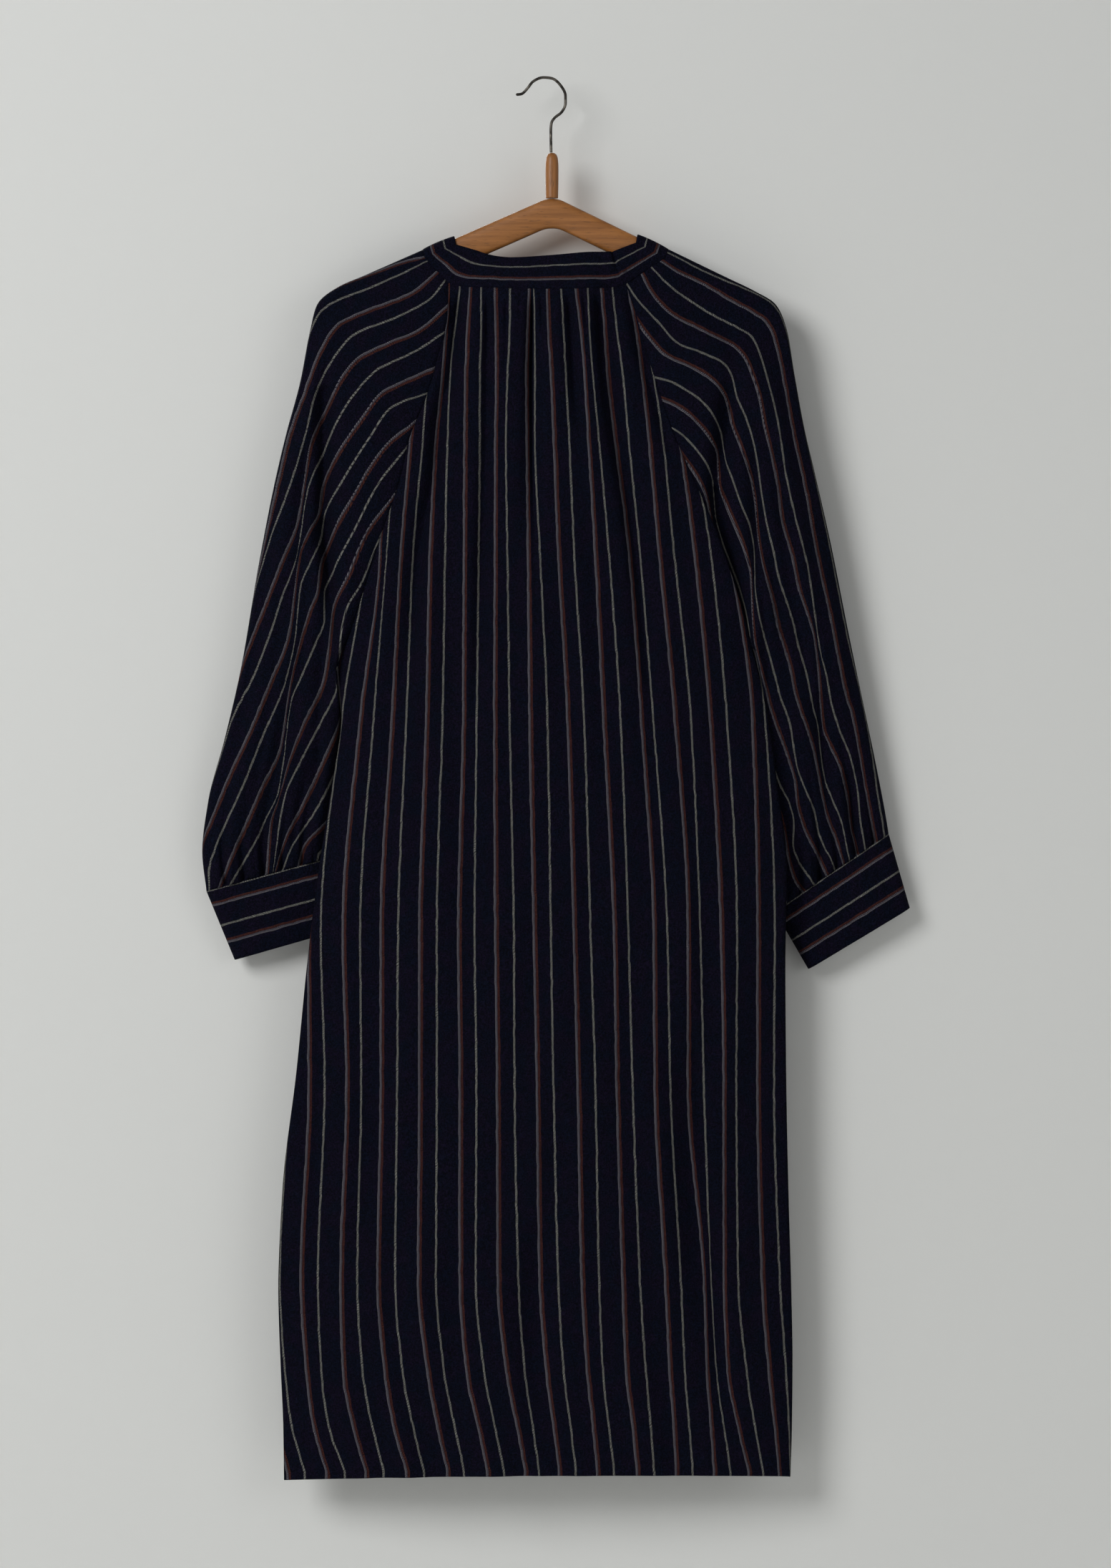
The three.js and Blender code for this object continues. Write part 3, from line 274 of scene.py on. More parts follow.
RIGHT_GUIDES = [
        (15, [(115.3, -159.4), (143.8, -174.3), (165.1, -183.8), (185.7, -192), (206.3, -202.3),
           (219.1, -220.3), (224.2, -238.3), (233.2, -284.5), (246.1, -351.4), (258.9, -413.1),
           (270.5, -472.2), (279.5, -515.9), (289.1, -552.7), (293.8, -575.1), (298.5, -601.2),
           (302.2, -627.3), (305.9, -655.3), (309.7, -677.7)]),
        (0, [(106.5, -165.6), (124, -176.6), (143.8, -185.6), (167.7, -199.7), (190.8, -212.6),
           (202.4, -220.3), (209.3, -231.9), (215.3, -253.7), (221.7, -287.1), (228.1, -323.1),
           (234.5, -351.4), (241, -382.2), (246.1, -413.1), (252.5, -446.5), (260.2, -479.9),
           (267.9, -518.4), (275.7, -557), (282.6, -579.6), (284.5, -588.1), (289.1, -614.3),
           (293.8, -642.2), (298.5, -666.5), (304.1, -694.5)]),
        (-20.7, [(98.8, -172.5), (114.5, -188.9), (128.4, -199.5), (143.8, -209.8), (157.4, -217.7),
           (178, -228), (189.6, -235.7), (196, -248.6), (203.7, -274.3), (211.4, -305.1), (216.5,
           -333.4), (219.1, -353.9), (225.5, -384.8), (233.2, -415.6), (241, -446.5), (244.8,
           -472.2), (247.4, -492.7), (251.2, -518.4), (257.7, -544.1), (262.1, -567.6), (269.5,
           -591.9), (278.9, -614.3), (282.6, -627.3), (287.3, -651.6), (289.1, -674), (293.8,
           -701.9)]),
        (-35.7, [(90.1, -177.6), (100.4, -197.7), (119.6, -217), (134.3, -224.2), (154.9, -234.4),
           (172.8, -243.4), (183.1, -253.7), (190.8, -271.7), (197.3, -292.3), (202.4, -320.5),
           (208.8, -346.2), (214, -371.9), (217.8, -402.8), (226.8, -433.6), (233.2, -464.5),
           (242.2, -490.2), (247.4, -508.1), (250.5, -531.3), (253.1, -565.8), (255.6, -591.9),
           (262.1, -607.7), (271.4, -627.3), (277, -647.8), (279.2, -662.8), (281.1, -681.4),
           (285.4, -698.2), (288.2, -711.3)]),
        (-56.4, [(75.2, -186.4), (86.5, -203.1), (104, -222.1), (123.2, -242.9), (143.8, -250.6),
           (165.1, -261.4), (171.6, -273), (175.4, -289.7), (184.4, -310.3), (190.8, -330.8),
           (194.7, -351.4), (198, -377.1), (202.4, -402.8), (208.8, -428.5), (214, -454.2), (221.7,
           -477.3), (228.1, -497.9), (232, -515.9), (239.7, -541.6), (246.1, -572.4), (250.9,
           -590.9), (253.1, -616.1), (257.4, -640.4), (263.9, -657.2), (272.3, -677.7), (277,
           -700.1)]),
        (-71.4, [(88, -224.2), (98.3, -238.3), (113.7, -253.7), (134.3, -262.7), (152.3, -274.3),
           (165.1, -287.1), (169.8, -300), (172.3, -315.4), (178, -330.8), (185.7, -351.4), (191.4,
           -371.9), (193.9, -389.9), (195.2, -413.1), (199.1, -438.8), (206.3, -464.5), (211.4,
           -485), (214.5, -500.4), (220.4, -518.4), (225.5, -536.4), (229.4, -557), (234.1, -573.2),
           (239.7, -588.1), (247.2, -610.5), (251.8, -632.9), (255.6, -655.3), (260.2, -674),
           (267.7, -692.6), (273.3, -711.3)]),
        (-92.1, [(100.9, -273), (116.3, -276.8), (129.2, -284.5), (144.6, -294.8), (154.9, -307.7),
           (162.6, -324.4), (164.6, -343.7), (171.6, -364.2), (180.6, -389.9), (189, -410.5),
           (192.1, -433.6), (192.1, -459.3), (195.2, -485), (201.1, -508.1), (207.5, -531.3),
           (212.7, -551.8), (215.4, -562), (222, -578.8), (225.1, -590), (227.6, -606.8), (230.4,
           -623.6), (235, -638.5), (241.6, -653.4), (247.2, -666.5), (250.9, -685.2), (256.5,
           -700.1), (263.9, -713.1), (267.7, -724.3)]),
        (-107.1, [(107.3, -292.3), (124, -300), (139.4, -312.8), (152.3, -328.2), (159.5, -343.7),
           (159.5, -366.8), (166.4, -387.4), (175.4, -409.2), (183.6, -429.8), (189.6, -454.2),
           (190.3, -485), (192.1, -513.3), (197.3, -536.4), (203.7, -557), (206.1, -567.6), (212.6,
           -588.1), (219.2, -604.9), (225.7, -623.6), (230.4, -640.4), (231.7, -659), (236, -675.8),
           (243.4, -692.6), (250.9, -705.7), (256.5, -718.7), (262.1, -729.9)]),
        (-127.8, [(115, -318), (126.6, -325.7), (140.7, -341.1), (149.7, -353.9), (154.9, -368.1),
           (156.1, -395.1), (162.6, -420.8), (170.3, -441.3), (179.3, -467), (186.2, -495.3),
           (189.6, -523.6), (194, -565.8), (200.5, -595.6), (208, -621.7), (215.4, -642.2), (224.8,
           -660.9), (228.5, -677.7), (227.6, -696.3), (233.2, -713.1), (243.4, -728.1)]),
        (-142.8, [(125.3, -342.4), (139.4, -361.7), (149.7, -382.2), (154.9, -407.9), (161.3,
           -433.6), (170.3, -464.5), (179.3, -500.4), (184.4, -536.4), (187.5, -575.1), (194.9,
           -606.8), (202.4, -631.1), (209.8, -651.6), (217.3, -674), (222, -694.5), (224.8, -711.3),
           (230.4, -729.9), (236, -737.4)]),
        (-163.5, [(121.4, -371.9), (134.3, -407.9), (147.1, -446.5), (160, -485), (170.3, -523.6),
           (178, -557), (180, -584.4), (187.5, -621.7), (196.8, -651.6), (204.2, -677.7), (209.8,
           -700.1), (213.6, -718.7), (219.2, -741.1)]),
]

# ------------------------------------------------------------------ curves and tables
def clamp(t):
    return np.clip(t, 0.0, 1.0)


def smooth(t):
    t = clamp(t)
    return t * t * (3 - 2 * t)


def arch(q):
    """Quarter circle that opens from 0 at the edge to 1 at a distance of one."""
    return np.sqrt(1 - (1 - clamp(q)) ** 2)


def lerp(a, b, t):
    return a + (b - a) * t


def through(knots, values, at):
    """Curve through a table's rows at its knots, smooth and without overshoot."""
    knots, values, at = (np.asarray(a, float) for a in (knots, values, at))
    tail = (1,) * (values.ndim - 1)
    step = np.diff(knots)
    slope = np.diff(values, axis=0) / step.reshape((-1,) + tail)
    tangent = np.zeros_like(values)
    tangent[0], tangent[-1] = slope[0], slope[-1]
    both = slope[:-1] * slope[1:]
    total = slope[:-1] + slope[1:]
    tangent[1:-1] = np.where(both > 0, 2 * both / np.where(both > 0, total, 1), 0)
    i = np.clip(np.searchsorted(knots, at, side="right") - 1, 0, len(knots) - 2)
    t = clamp((at - knots[i]) / step[i]).reshape(at.shape + tail)
    h = step[i].reshape(at.shape + tail)
    return ((1 + 2 * t) * (1 - t) ** 2 * values[i] + t * (1 - t) ** 2 * h * tangent[i]
            + t * t * (3 - 2 * t) * values[i + 1] + t * t * (t - 1) * h * tangent[i + 1])


def lengths(points):
    """Way along a row of points, from 0, in the first axis."""
    steps = np.linalg.norm(np.diff(points, axis=0), axis=-1)
    return np.concatenate([np.zeros((1,) + steps.shape[1:]), np.cumsum(steps, axis=0)])


def spread(points, shares):
    """Points at shares, 0 to 1, of a polyline's length."""
    way = lengths(points)
    return np.stack([np.interp(shares * way[-1], way, points[:, k])
                     for k in range(points.shape[1])], axis=-1)


def press(folds, side, x, z):
    """Depth that the solids' own folds press in at (x, z) on one side."""
    depth = np.zeros_like(x)
    for fold_side, top_x, top_z, end_x, end_z, deep, wide in folds:
        if fold_side != side:
            continue
        t = clamp((z - top_z) / (end_z - top_z))
        fade = np.abs(np.sin(np.pi * np.sqrt(t))) ** 0.8
        depth += deep * fade * np.exp(-((x - lerp(top_x, end_x, t)) / wide) ** 2)
    return depth


def dense(path, step=4.0):
    """A path of (x, z) points, smoothed, with its tangents and shares of its length."""
    path = np.asarray(path, float)
    way = lengths(path)
    share = np.linspace(0, 1, max(3, int(way[-1] / step)))
    points = through(way / way[-1], path, share)
    tangents = np.gradient(points, axis=0)
    tangents /= np.linalg.norm(tangents, axis=1, keepdims=True) + 1e-9
    return points, tangents, share


def beside(path, x, z, step=4.0):
    """Signed distance from a path, + on its +X side where it runs down, and the share."""
    points, tangents, share = dense(path, step)
    flat = np.stack([np.ravel(x), np.ravel(z)], axis=-1)
    signed = np.empty(len(flat))
    along = np.empty(len(flat))
    for start in range(0, len(flat), 4000):
        part = flat[start:start + 4000]
        gap = part[:, None, :] - points[None, :, :]
        near = np.argmin((gap ** 2).sum(-1), axis=1)
        away = gap[np.arange(len(part)), near]
        tangent = tangents[near]
        cross = -away[:, 0] * tangent[:, 1] + away[:, 1] * tangent[:, 0]
        distance = np.sqrt((away ** 2).sum(-1))
        inner = (near > 0) & (near < len(points) - 1)
        signed[start:start + 4000] = np.where(inner, cross, np.sign(cross) * distance)
        along[start:start + 4000] = share[near]
    return signed.reshape(np.shape(x)), along.reshape(np.shape(x))


def creases(folds, x, z):
    """Depth of the folds that only the scene has: path, depth, its -X and +X widths, and
    how much of the depth is there at its top and at its end."""
    depth = np.zeros_like(x)
    for path, deep, before, after, at_top, at_end in folds:
        xs, zs = [p[0] for p in path], [p[1] for p in path]
        reach = 3 * max(before, after)
        near = ((x > min(xs) - reach) & (x < max(xs) + reach)
                & (z > min(zs) - reach) & (z < max(zs) + reach))
        if not near.any():
            continue
        signed, share = beside(path, x[near], z[near])
        wide = np.where(signed < 0, before, after)
        fade = np.sin(np.pi * np.clip(share, 0.001, 0.999)) ** 0.7
        fade = np.maximum(fade, np.maximum(at_top * (1 - 2 * share), at_end * (2 * share - 1)))
        depth[near] += deep * fade * np.exp(-np.abs(signed / wide) ** 1.7)
    return depth


# ------------------------------------------------------------------ where the stripes run
REPEAT = 35.7  # from one double stripe to the next
WHITE_AT = 15.0  # from a double stripe to the white one after it
STRIPE_PLACES = np.sort(np.concatenate([REPEAT * np.arange(-6, 7),
                                        REPEAT * np.arange(-6, 7) + WHITE_AT]))
GATHERED = 0.72  # width that gathered cloth takes, where a row of the table is empty


def stripe_table():
    """BODY_STRIPES with its empty ends filled: depths below the hook and places."""
    rows = []
    for _, places in BODY_STRIPES:
        known = [i for i, x in enumerate(places) if x is not None]
        row = np.array([0.0 if x is None else x for x in places])
        for i in range(known[0] - 1, -1, -1):
            row[i] = row[i + 1] - GATHERED * (STRIPE_PLACES[i + 1] - STRIPE_PLACES[i])
        for i in range(known[-1] + 1, len(row)):
            row[i] = row[i - 1] + GATHERED * (STRIPE_PLACES[i] - STRIPE_PLACES[i - 1])
        rows.append(row)
    return np.array([-z for z, _ in BODY_STRIPES]), np.array(rows)


def body_across(x, z):
    """Place across the uncut cloth, in mm, of a point on the back panel."""
    depths, table = stripe_table()
    places = through(depths, table, -np.ravel(z))
    x = np.ravel(x)
    last = len(STRIPE_PLACES) - 1
    i = np.clip((places <= x[:, None]).sum(1) - 1, 0, last - 1)
    every = np.arange(len(x))
    left, right = places[every, i], places[every, i + 1]
    t = clamp((x - left) / (right - left))
    gap = right - left
    span = STRIPE_PLACES[i + 1] - STRIPE_PLACES[i]
    end = np.clip(gap / span, 0.2, 2.5)
    share = t ** 3 * (2 * end - 2) + t * t * (3 - 3 * end) + end * t
    across = STRIPE_PLACES[i] + span * share
    across += np.minimum(0, x - places[:, 0]) + np.maximum(0, x - places[:, -1])
    return across


def sleeve_across(hand, guides, x, z):
    """Place across the cloth of a point on a sleeve's back, between the guide lines."""
    inner = []
    for _, path in guides:
        start = 2 * np.array(path[0]) - np.array(path[1])
        run = np.array(path[-1]) - np.array(path[-2])
        end = np.array(path[-1]) + run / np.linalg.norm(run) * 250
        signed, _ = beside([tuple(start)] + list(path) + [tuple(end)], x, z, 3.0)
        inner.append(-hand * signed)
    inner = np.array(inner).reshape(len(guides), -1)
    values = np.array([value for value, _ in guides])
    passed = np.cumprod(inner > 0, axis=0).sum(0)
    i = np.clip(passed - 1, 0, len(guides) - 2)
    every = np.arange(inner.shape[1])
    before, after = np.abs(inner[i, every]), np.abs(inner[i + 1, every])
    t = before / (before + after + 1e-9)
    span = values[i + 1] - values[i]
    end = np.clip((before + after) / np.abs(span), 0.25, 2.5)
    between = values[i] + span * (t ** 3 * (2 * end - 2) + t * t * (3 - 3 * end) + end * t)
    way = np.sign(values[-1] - values[0])
    outside = values[0] - way * before
    past = values[-1] + way * after
    across = np.where(passed == 0, outside, np.where(passed == len(guides), past, between))
    return across.reshape(np.shape(x))


def unrolled(across, points, weight):
    """Places across the cloth, with the depth of the rows' turned edges added where weight
    is 1, so that a stripe keeps its width on them."""
    depth = np.diff(points[..., 1], axis=1) * (weight[..., 1:] + weight[..., :-1]) / 2
    flat = np.diff(across, axis=1)
    middle = across.shape[1] // 2
    way = np.sign(across[:, -1:] - across[:, :1])
    extra = way * (np.hypot(flat, depth) - np.abs(flat))
    added = np.concatenate([np.zeros((len(across), 1)), np.cumsum(extra, axis=1)], axis=1)
    return across + added - added[:, middle:middle + 1]


# ------------------------------------------------------------------ the neck
def along_neck(place):
    """Seam and free edge (six numbers) of the neckband at places around its ring."""
    place = np.asarray(place, float) % len(NECK_PLACES)
    first = np.floor(place).astype(int)
    t = (place - first)[..., None]
    a, b, c, d = (NECK_PLACES[(first + k) % len(NECK_PLACES)] for k in (-1, 0, 1, 2))
    return b + 0.5 * t * (c - a + t * (2 * a - 5 * b + 4 * c - d + t * (3 * (b - c) + d - a)))


def over_shoulder(ridge, corner, arch_steps=10, run_steps=8):
    """One side of the shoulder, ridge to corner, for both edges of the neckband."""
    def edge(top, end):
        side = np.sign(end[1])
        spring = np.array([lerp(top[0], end[0], SPRING), side * ARCH, top[2] - ARCH])
        angle = np.linspace(0, math.pi / 2, arch_steps + 1)
        drop = 1 - np.cos(angle)
        bend = np.column_stack([lerp(top[0], spring[0], drop),
                                side * ARCH * np.sin(angle), top[2] - ARCH * drop])
        run = lerp(spring, end, np.linspace(0, 1, run_steps + 1)[1:, None])
        return np.vstack([bend, run])
    return np.hstack([edge(ridge[:3], corner[:3]), edge(ridge[3:], corner[3:])])


def neck_rows(back_columns, front_columns):
    """Rows of six numbers around the neck: its two panels and its four shoulder sides."""
    ridge = {hand: along_neck(place)
             for hand, place in (("left", LEFT_RIDGE), ("right", RIGHT_RIDGE))}
    return {
        "back": along_neck(RIGHT_RIDGE + 1 + np.linspace(0, 4, back_columns + 1)),
        "front": along_neck(LEFT_RIDGE + 1 + np.linspace(0, 4, front_columns + 1)),
        "left_back": over_shoulder(ridge["left"], along_neck(LEFT_RIDGE - 1)),
        "left_front": over_shoulder(ridge["left"], along_neck(LEFT_RIDGE + 1)),
        "right_back": over_shoulder(ridge["right"], along_neck(RIGHT_RIDGE + 1)),
        "right_front": over_shoulder(ridge["right"], along_neck(RIGHT_RIDGE - 1)),
    }


def seam_line(rows, way):
    """Seam edge moved away from the neckband (-1) or into it (+1)."""
    rise = rows[..., 3:] - rows[..., :3]
    rise /= np.linalg.norm(rise, axis=-1, keepdims=True)
    return rows[..., :3] + rise * way * SEAM_SHIFT


def inwards_at(rows):
    """Direction into the garment along a run of the neck ring."""
    around = np.gradient(rows[:, :3], axis=0)
    into = np.cross(around, rows[:, 3:] - rows[:, :3])
    return into / np.linalg.norm(into, axis=1, keepdims=True)


# ------------------------------------------------------------------ meshes
def add_mesh(name, points, faces, values=None):
    """Smooth mesh object in metres, with a number on each point for every value given."""
    mesh = bpy.data.meshes.new(name)
    mesh.from_pydata((points * MM).tolist(), [], faces.tolist())
    mesh.polygons.foreach_set("use_smooth", np.ones(len(mesh.polygons), bool))
    for key, numbers in (values or {}).items():
        layer = mesh.attributes.new(key, "FLOAT", "POINT")
        layer.data.foreach_set("value", np.asarray(numbers, np.float32).ravel())
    mesh.update()
    piece = bpy.data.objects.new(name, mesh)
    bpy.context.scene.collection.objects.link(piece)
    return piece


def cloth_shell(name, grid, wall, around=False, flip=1, fixed=None, values=None):
    """Closed thin cloth through a grid of outer points. around joins each row's ends. fixed
    gives the wall's direction where it isn't nan. The free edges are rounded."""
    rows, columns = grid.shape[:2]
    if around:
        across = np.roll(grid, -1, axis=1) - np.roll(grid, 1, axis=1)
    else:
        across = np.gradient(grid, axis=1)
    normal = np.cross(np.gradient(grid, axis=0), across) * flip
    normal /= np.linalg.norm(normal, axis=-1, keepdims=True) + 1e-9
    if fixed is not None:
        normal = np.where(np.isnan(fixed), normal, fixed)
    inner = grid + normal * wall
    index = np.arange(rows * columns).reshape(rows, columns)
    layers = [grid.reshape(-1, 3), inner.reshape(-1, 3)]
    count = rows * columns

    def quads(i, turned):
        nxt = np.roll(i, -1, axis=1) if around else i[:, 1:]
        here = i if around else i[:, :-1]
        corners = [here[:-1], nxt[:-1], nxt[1:], here[1:]]
        if turned:
            corners.reverse()
        return np.stack(corners, axis=-1).reshape(-1, 4)

    faces = [quads(index, flip < 0), quads(index + count, flip > 0)]
    sources = [index.ravel(), index.ravel()]
    if around:
        loops = [(index[0], grid[0] - grid[1], 1), (index[-1], grid[-1] - grid[-2], -1)]
    else:
        line = np.concatenate([index[0, :-1], index[:-1, -1], index[-1, :0:-1], index[:0:-1, 0]])
        away = np.concatenate([(grid[0] - grid[1])[:-1], (grid[:, -1] - grid[:, -2])[:-1],
                               (grid[-1] - grid[-2])[:0:-1], (grid[:, 0] - grid[:, 1])[:0:-1]])
        loops = [(line, away, 1)]
    total = 2 * count
    for line, away, way in loops:
        away = away / (np.linalg.norm(away, axis=-1, keepdims=True) + 1e-9)
        middle = (layers[0][line] + layers[1][line]) / 2 + away * wall * EDGE_ROUND
        rim = total + np.arange(len(line))
        total += len(line)
        layers.append(middle)
        sources.append(line)
        for a, b in ((line, rim), (rim, line + count)):
            corners = [a, b, np.roll(b, -1), np.roll(a, -1)]
            if way * flip < 0:
                corners.reverse()
            faces.append(np.stack(corners, axis=-1))
    points = np.concatenate(layers)
    source = np.concatenate(sources)
    numbers = {key: np.ravel(v)[source] for key, v in (values or {}).items()}
    return add_mesh(name, points, np.concatenate(faces), numbers)


# ------------------------------------------------------------------ body
EDGE_ROUND = 0.3  # how far a cut edge stands out, in walls
ROLL = 0.7  # dip of the cloth beside a sewn seam
ROLL_WIDTH = 2.4


def edge_of_body(hand, face, r, corner):
    """Edge of a panel at levels r, from the neck's corner to the hem."""
    first = 0 if face == "back" else 1
    x, z = (0, 1) if hand < 0 else (2, 3)
    y = 4 if face == "back" else 5
    table = BODY_LEVELS[first:, [x, y, z]].copy()
    table[0] = corner
    return through(np.arange(first, len(BODY_LEVELS)), table, r)


def levels_of_body(first):
    """Levels for the rows of a panel: close together at the neck and the hem."""
    z = lerp(BODY_LEVELS[first:, 1], BODY_LEVELS[first:, 3], 0.5)
    drop = z[0] - z
    stops = [0, 75, 330, drop[-1] - 34, drop[-1]]
    counts = BODY_ROWS
    wanted = np.concatenate([np.linspace(a, b, n, endpoint=False)
                             for a, b, n in zip(stops, stops[1:], counts)] + [[drop[-1]]])
    return np.interp(wanted, drop, np.arange(first, len(BODY_LEVELS)))


def pleats(where, way, table):
    """Height of narrow gathers: place, height, width and length of each. They start with
    part of their height at the seam, way = 0, and run out along the cloth."""
    height = np.zeros(np.broadcast(where, way).shape)
    for place, high, wide, long in table:
        fade = clamp(1 - way / long) ** 1.5 * smooth((way + 1.2) / 3.5)
        height += high * np.exp(-np.abs((where - place) / wide) ** 2.4) * fade
    return height


def scattered(seed, start, stop, step, high, wide, long):
    """A table of uneven small gathers between start and stop."""
    draw = random.Random(seed)
    table = []
    place = start
    while place < stop:
        table.append((place + draw.uniform(-0.3, 0.3) * step, high * draw.uniform(0.45, 1.15),
                      wide * draw.uniform(0.7, 1.25), long * draw.uniform(0.35, 1.3)))
        place += step
    return table


def body_panel(name, face, columns, wall):
    back = face == "back"
    side = -1 if back else 1
    first = 0 if back else 1
    neck = neck_rows(columns, columns)
    run = neck[face][::-1] if back else neck[face]
    top = seam_line(run, -1)
    hands = ("left_", "right_")
    corners = [seam_line(neck[hand + face][-1:], -1)[0] for hand in hands]
    r = levels_of_body(first)
    left = edge_of_body(-1, face, r, corners[0])
    right = edge_of_body(1, face, r, corners[1])
    u = np.linspace(0, 1, columns + 1)[None, :]
    level = r[:, None]
    grid = lerp(left[:, None, :], right[:, None, :], u[..., None])
    chord = lerp(left[0], right[0], u[0][:, None])
    dips = (NECK_DIP_LEFT if back else FRONT_DIP_LEFT) + [0] * 20
    knots = np.arange(first, len(BODY_LEVELS))
    dip = through(knots, np.array(dips[:len(knots)], float), r)[:, None]
    grid[..., 0] += dip * (top[:, 0] - chord[:, 0])
    grid[..., 2] += dip * (top[:, 2] - chord[:, 2])
    swell = np.abs(np.sin(math.pi * u)) ** CROWN_POWER
    crowns = BODY_LEVELS[:, 6 if back else 7].copy()
    crowns[first] = crowns[first + 1]
    crown = through(np.arange(len(crowns)), crowns, r)[:, None]
    inside = smooth(6 * u) * smooth(6 * (1 - u))
    x, z = grid[..., 0].copy(), grid[..., 2].copy()
    hang = smooth((level - UNDERARM - 6) / 4) * swell
    grid[..., 2] += hang * (HEM_RISE if back else HEM_RISE - FRONT_HEM_DROP)
    if back:
        across = body_across(x, z).reshape(x.shape)
    else:
        lift = 69 * np.exp((z + 263) / 300)
        across = body_across(-x, np.minimum(z + lift, -194)).reshape(x.shape)
    way = lengths(grid)
    out = side * crown * swell - side * press(BODY_FOLDS, side, x, z) * inside
    fine = creases(BACK_CREASES if back else FRONT_CREASES, x, z)
    near_edge = smooth(u * 70) * smooth((1 - u) * 70)
    out -= side * fine * near_edge
    out += side * pleats(across, way, NECK_PLEATS) * smooth(14 * u) * smooth(14 * (1 - u))
    draw = random.Random(11 if back else 12)
    for _ in range(7):  # slack of the hanging cloth
        long = draw.uniform(34, 80)
        phase, lean = draw.uniform(0, 6.3), draw.uniform(-0.15, 0.15)
        wave = np.sin(2 * math.pi * (across + lean * z) / long + phase
                      + 1.1 * np.sin(z / draw.uniform(120, 260) + phase * 2))
        out += side * SLACK * wave * inside * smooth((way - 40) / 160)
    blend = smooth(level - first)
    grid[..., 1] = lerp(top[None, :, 1], grid[..., 1] + out, blend)
    # cloth bulges out just below the neckband and dips beside its side seams
    puff = NECK_PUFF * np.exp(-((way - 9) / 8) ** 2)
    grid[..., 1] += side * puff * smooth(9 * u) * smooth(9 - 9 * u)
    width = np.linalg.norm(right - left, axis=1)[:, None]
    beside_seam = sum(np.exp(-(share * width / ROLL_WIDTH) ** 2) for share in (u, 1 - u))
    grid[..., 1] -= side * ROLL * beside_seam * smooth(level * 2) * (level < UNDERARM)
    from_hem = way[-1:] - way
    turned = smooth((HEM_DEPTH - from_hem) / 1.6) * HEM_STEP
    turned -= HEM_STEP * np.exp(-((from_hem - HEM_DEPTH) / 1.3) ** 2)
    grid[..., 1] += side * turned * smooth(12 * u) * smooth(12 - 12 * u)
    upper = level <= UNDERARM
    grid[:, :1, 0] += np.where(upper, SEAM_SHIFT, 0)
    grid[:, -1:, 0] -= np.where(upper, SEAM_SHIFT, 0)
    lower = level >= UNDERARM
    grid[:, :1, 1] += np.where(lower, side * SEAM_SHIFT, 0)
    grid[:, -1:, 1] += np.where(lower, side * SEAM_SHIFT, 0)
    fixed = np.full(grid.shape, np.nan)
    for column, sign in ((0, 1), (-1, -1)):
        fixed[:, column] = np.where(level < UNDERARM, [0, -side, 0], [sign, 0, 0])
    fixed[0] = inwards_at(run)
    fixed[0] *= -side * np.sign(fixed[0][:, 1:2])
    turned_edge = np.broadcast_to(1 - smooth(u / 0.035) * smooth((1 - u) / 0.035), across.shape)
    across = unrolled(across, grid, turned_edge)
    values = {"across": across, "along": way}
    return cloth_shell(name, grid, wall, flip=side, fixed=fixed, values=values)


# ------------------------------------------------------------------ sleeves and cuffs
def tube_point(section, side, s):
    """Point of a flattened tube, s from its outer to its inner edge. The section's numbers
    are in the last axis, before the share s."""
    outer, inner, half = section[..., :3], section[..., 3:6], section[..., 6]
    length = np.hypot(outer[..., 0] - inner[..., 0], outer[..., 2] - inner[..., 2])
    swell = ARCH * arch(s * length / ARCH) + (half - ARCH) * smooth(s / FILL_OUT)
    closing = arch((1 - s) * length / half)
    point = lerp(outer, inner, s[..., None])
    point[..., 1] += side * swell * closing
    return point


def shares_of_sleeve(columns):
    """Shares from the ridge to the underarm, close together where the cloth turns."""
    t = np.linspace(0, 1, columns + 1)
    return lerp(t, (1 - np.cos(math.pi * t)) / 2, 0.75)


def armhole(name, face, s):
    """Upper edge of a sleeve on one face: neck seam, then raglan seam to the underarm."""
    hand = -1 if name == "left" else 1
    neck = neck_rows(4, 4)[f"{name}_{face}"]
    seam = seam_line(neck, -1)
    first = 0 if face == "back" else 1
    r = np.linspace(first, UNDERARM, 60)
    edge = edge_of_body(hand, face, r, seam[-1])
    edge[:, 0] += hand * SEAM_SHIFT
    return spread(np.vstack([seam[:-1], edge]), s)


def cuff_axis(name):
    seam, hem = SLEEVES[name][-1], CUFF_HEMS[name]
    axis = (hem[:3] + hem[3:6]) - (seam[:3] + seam[3:6])
    return axis / np.linalg.norm(axis)


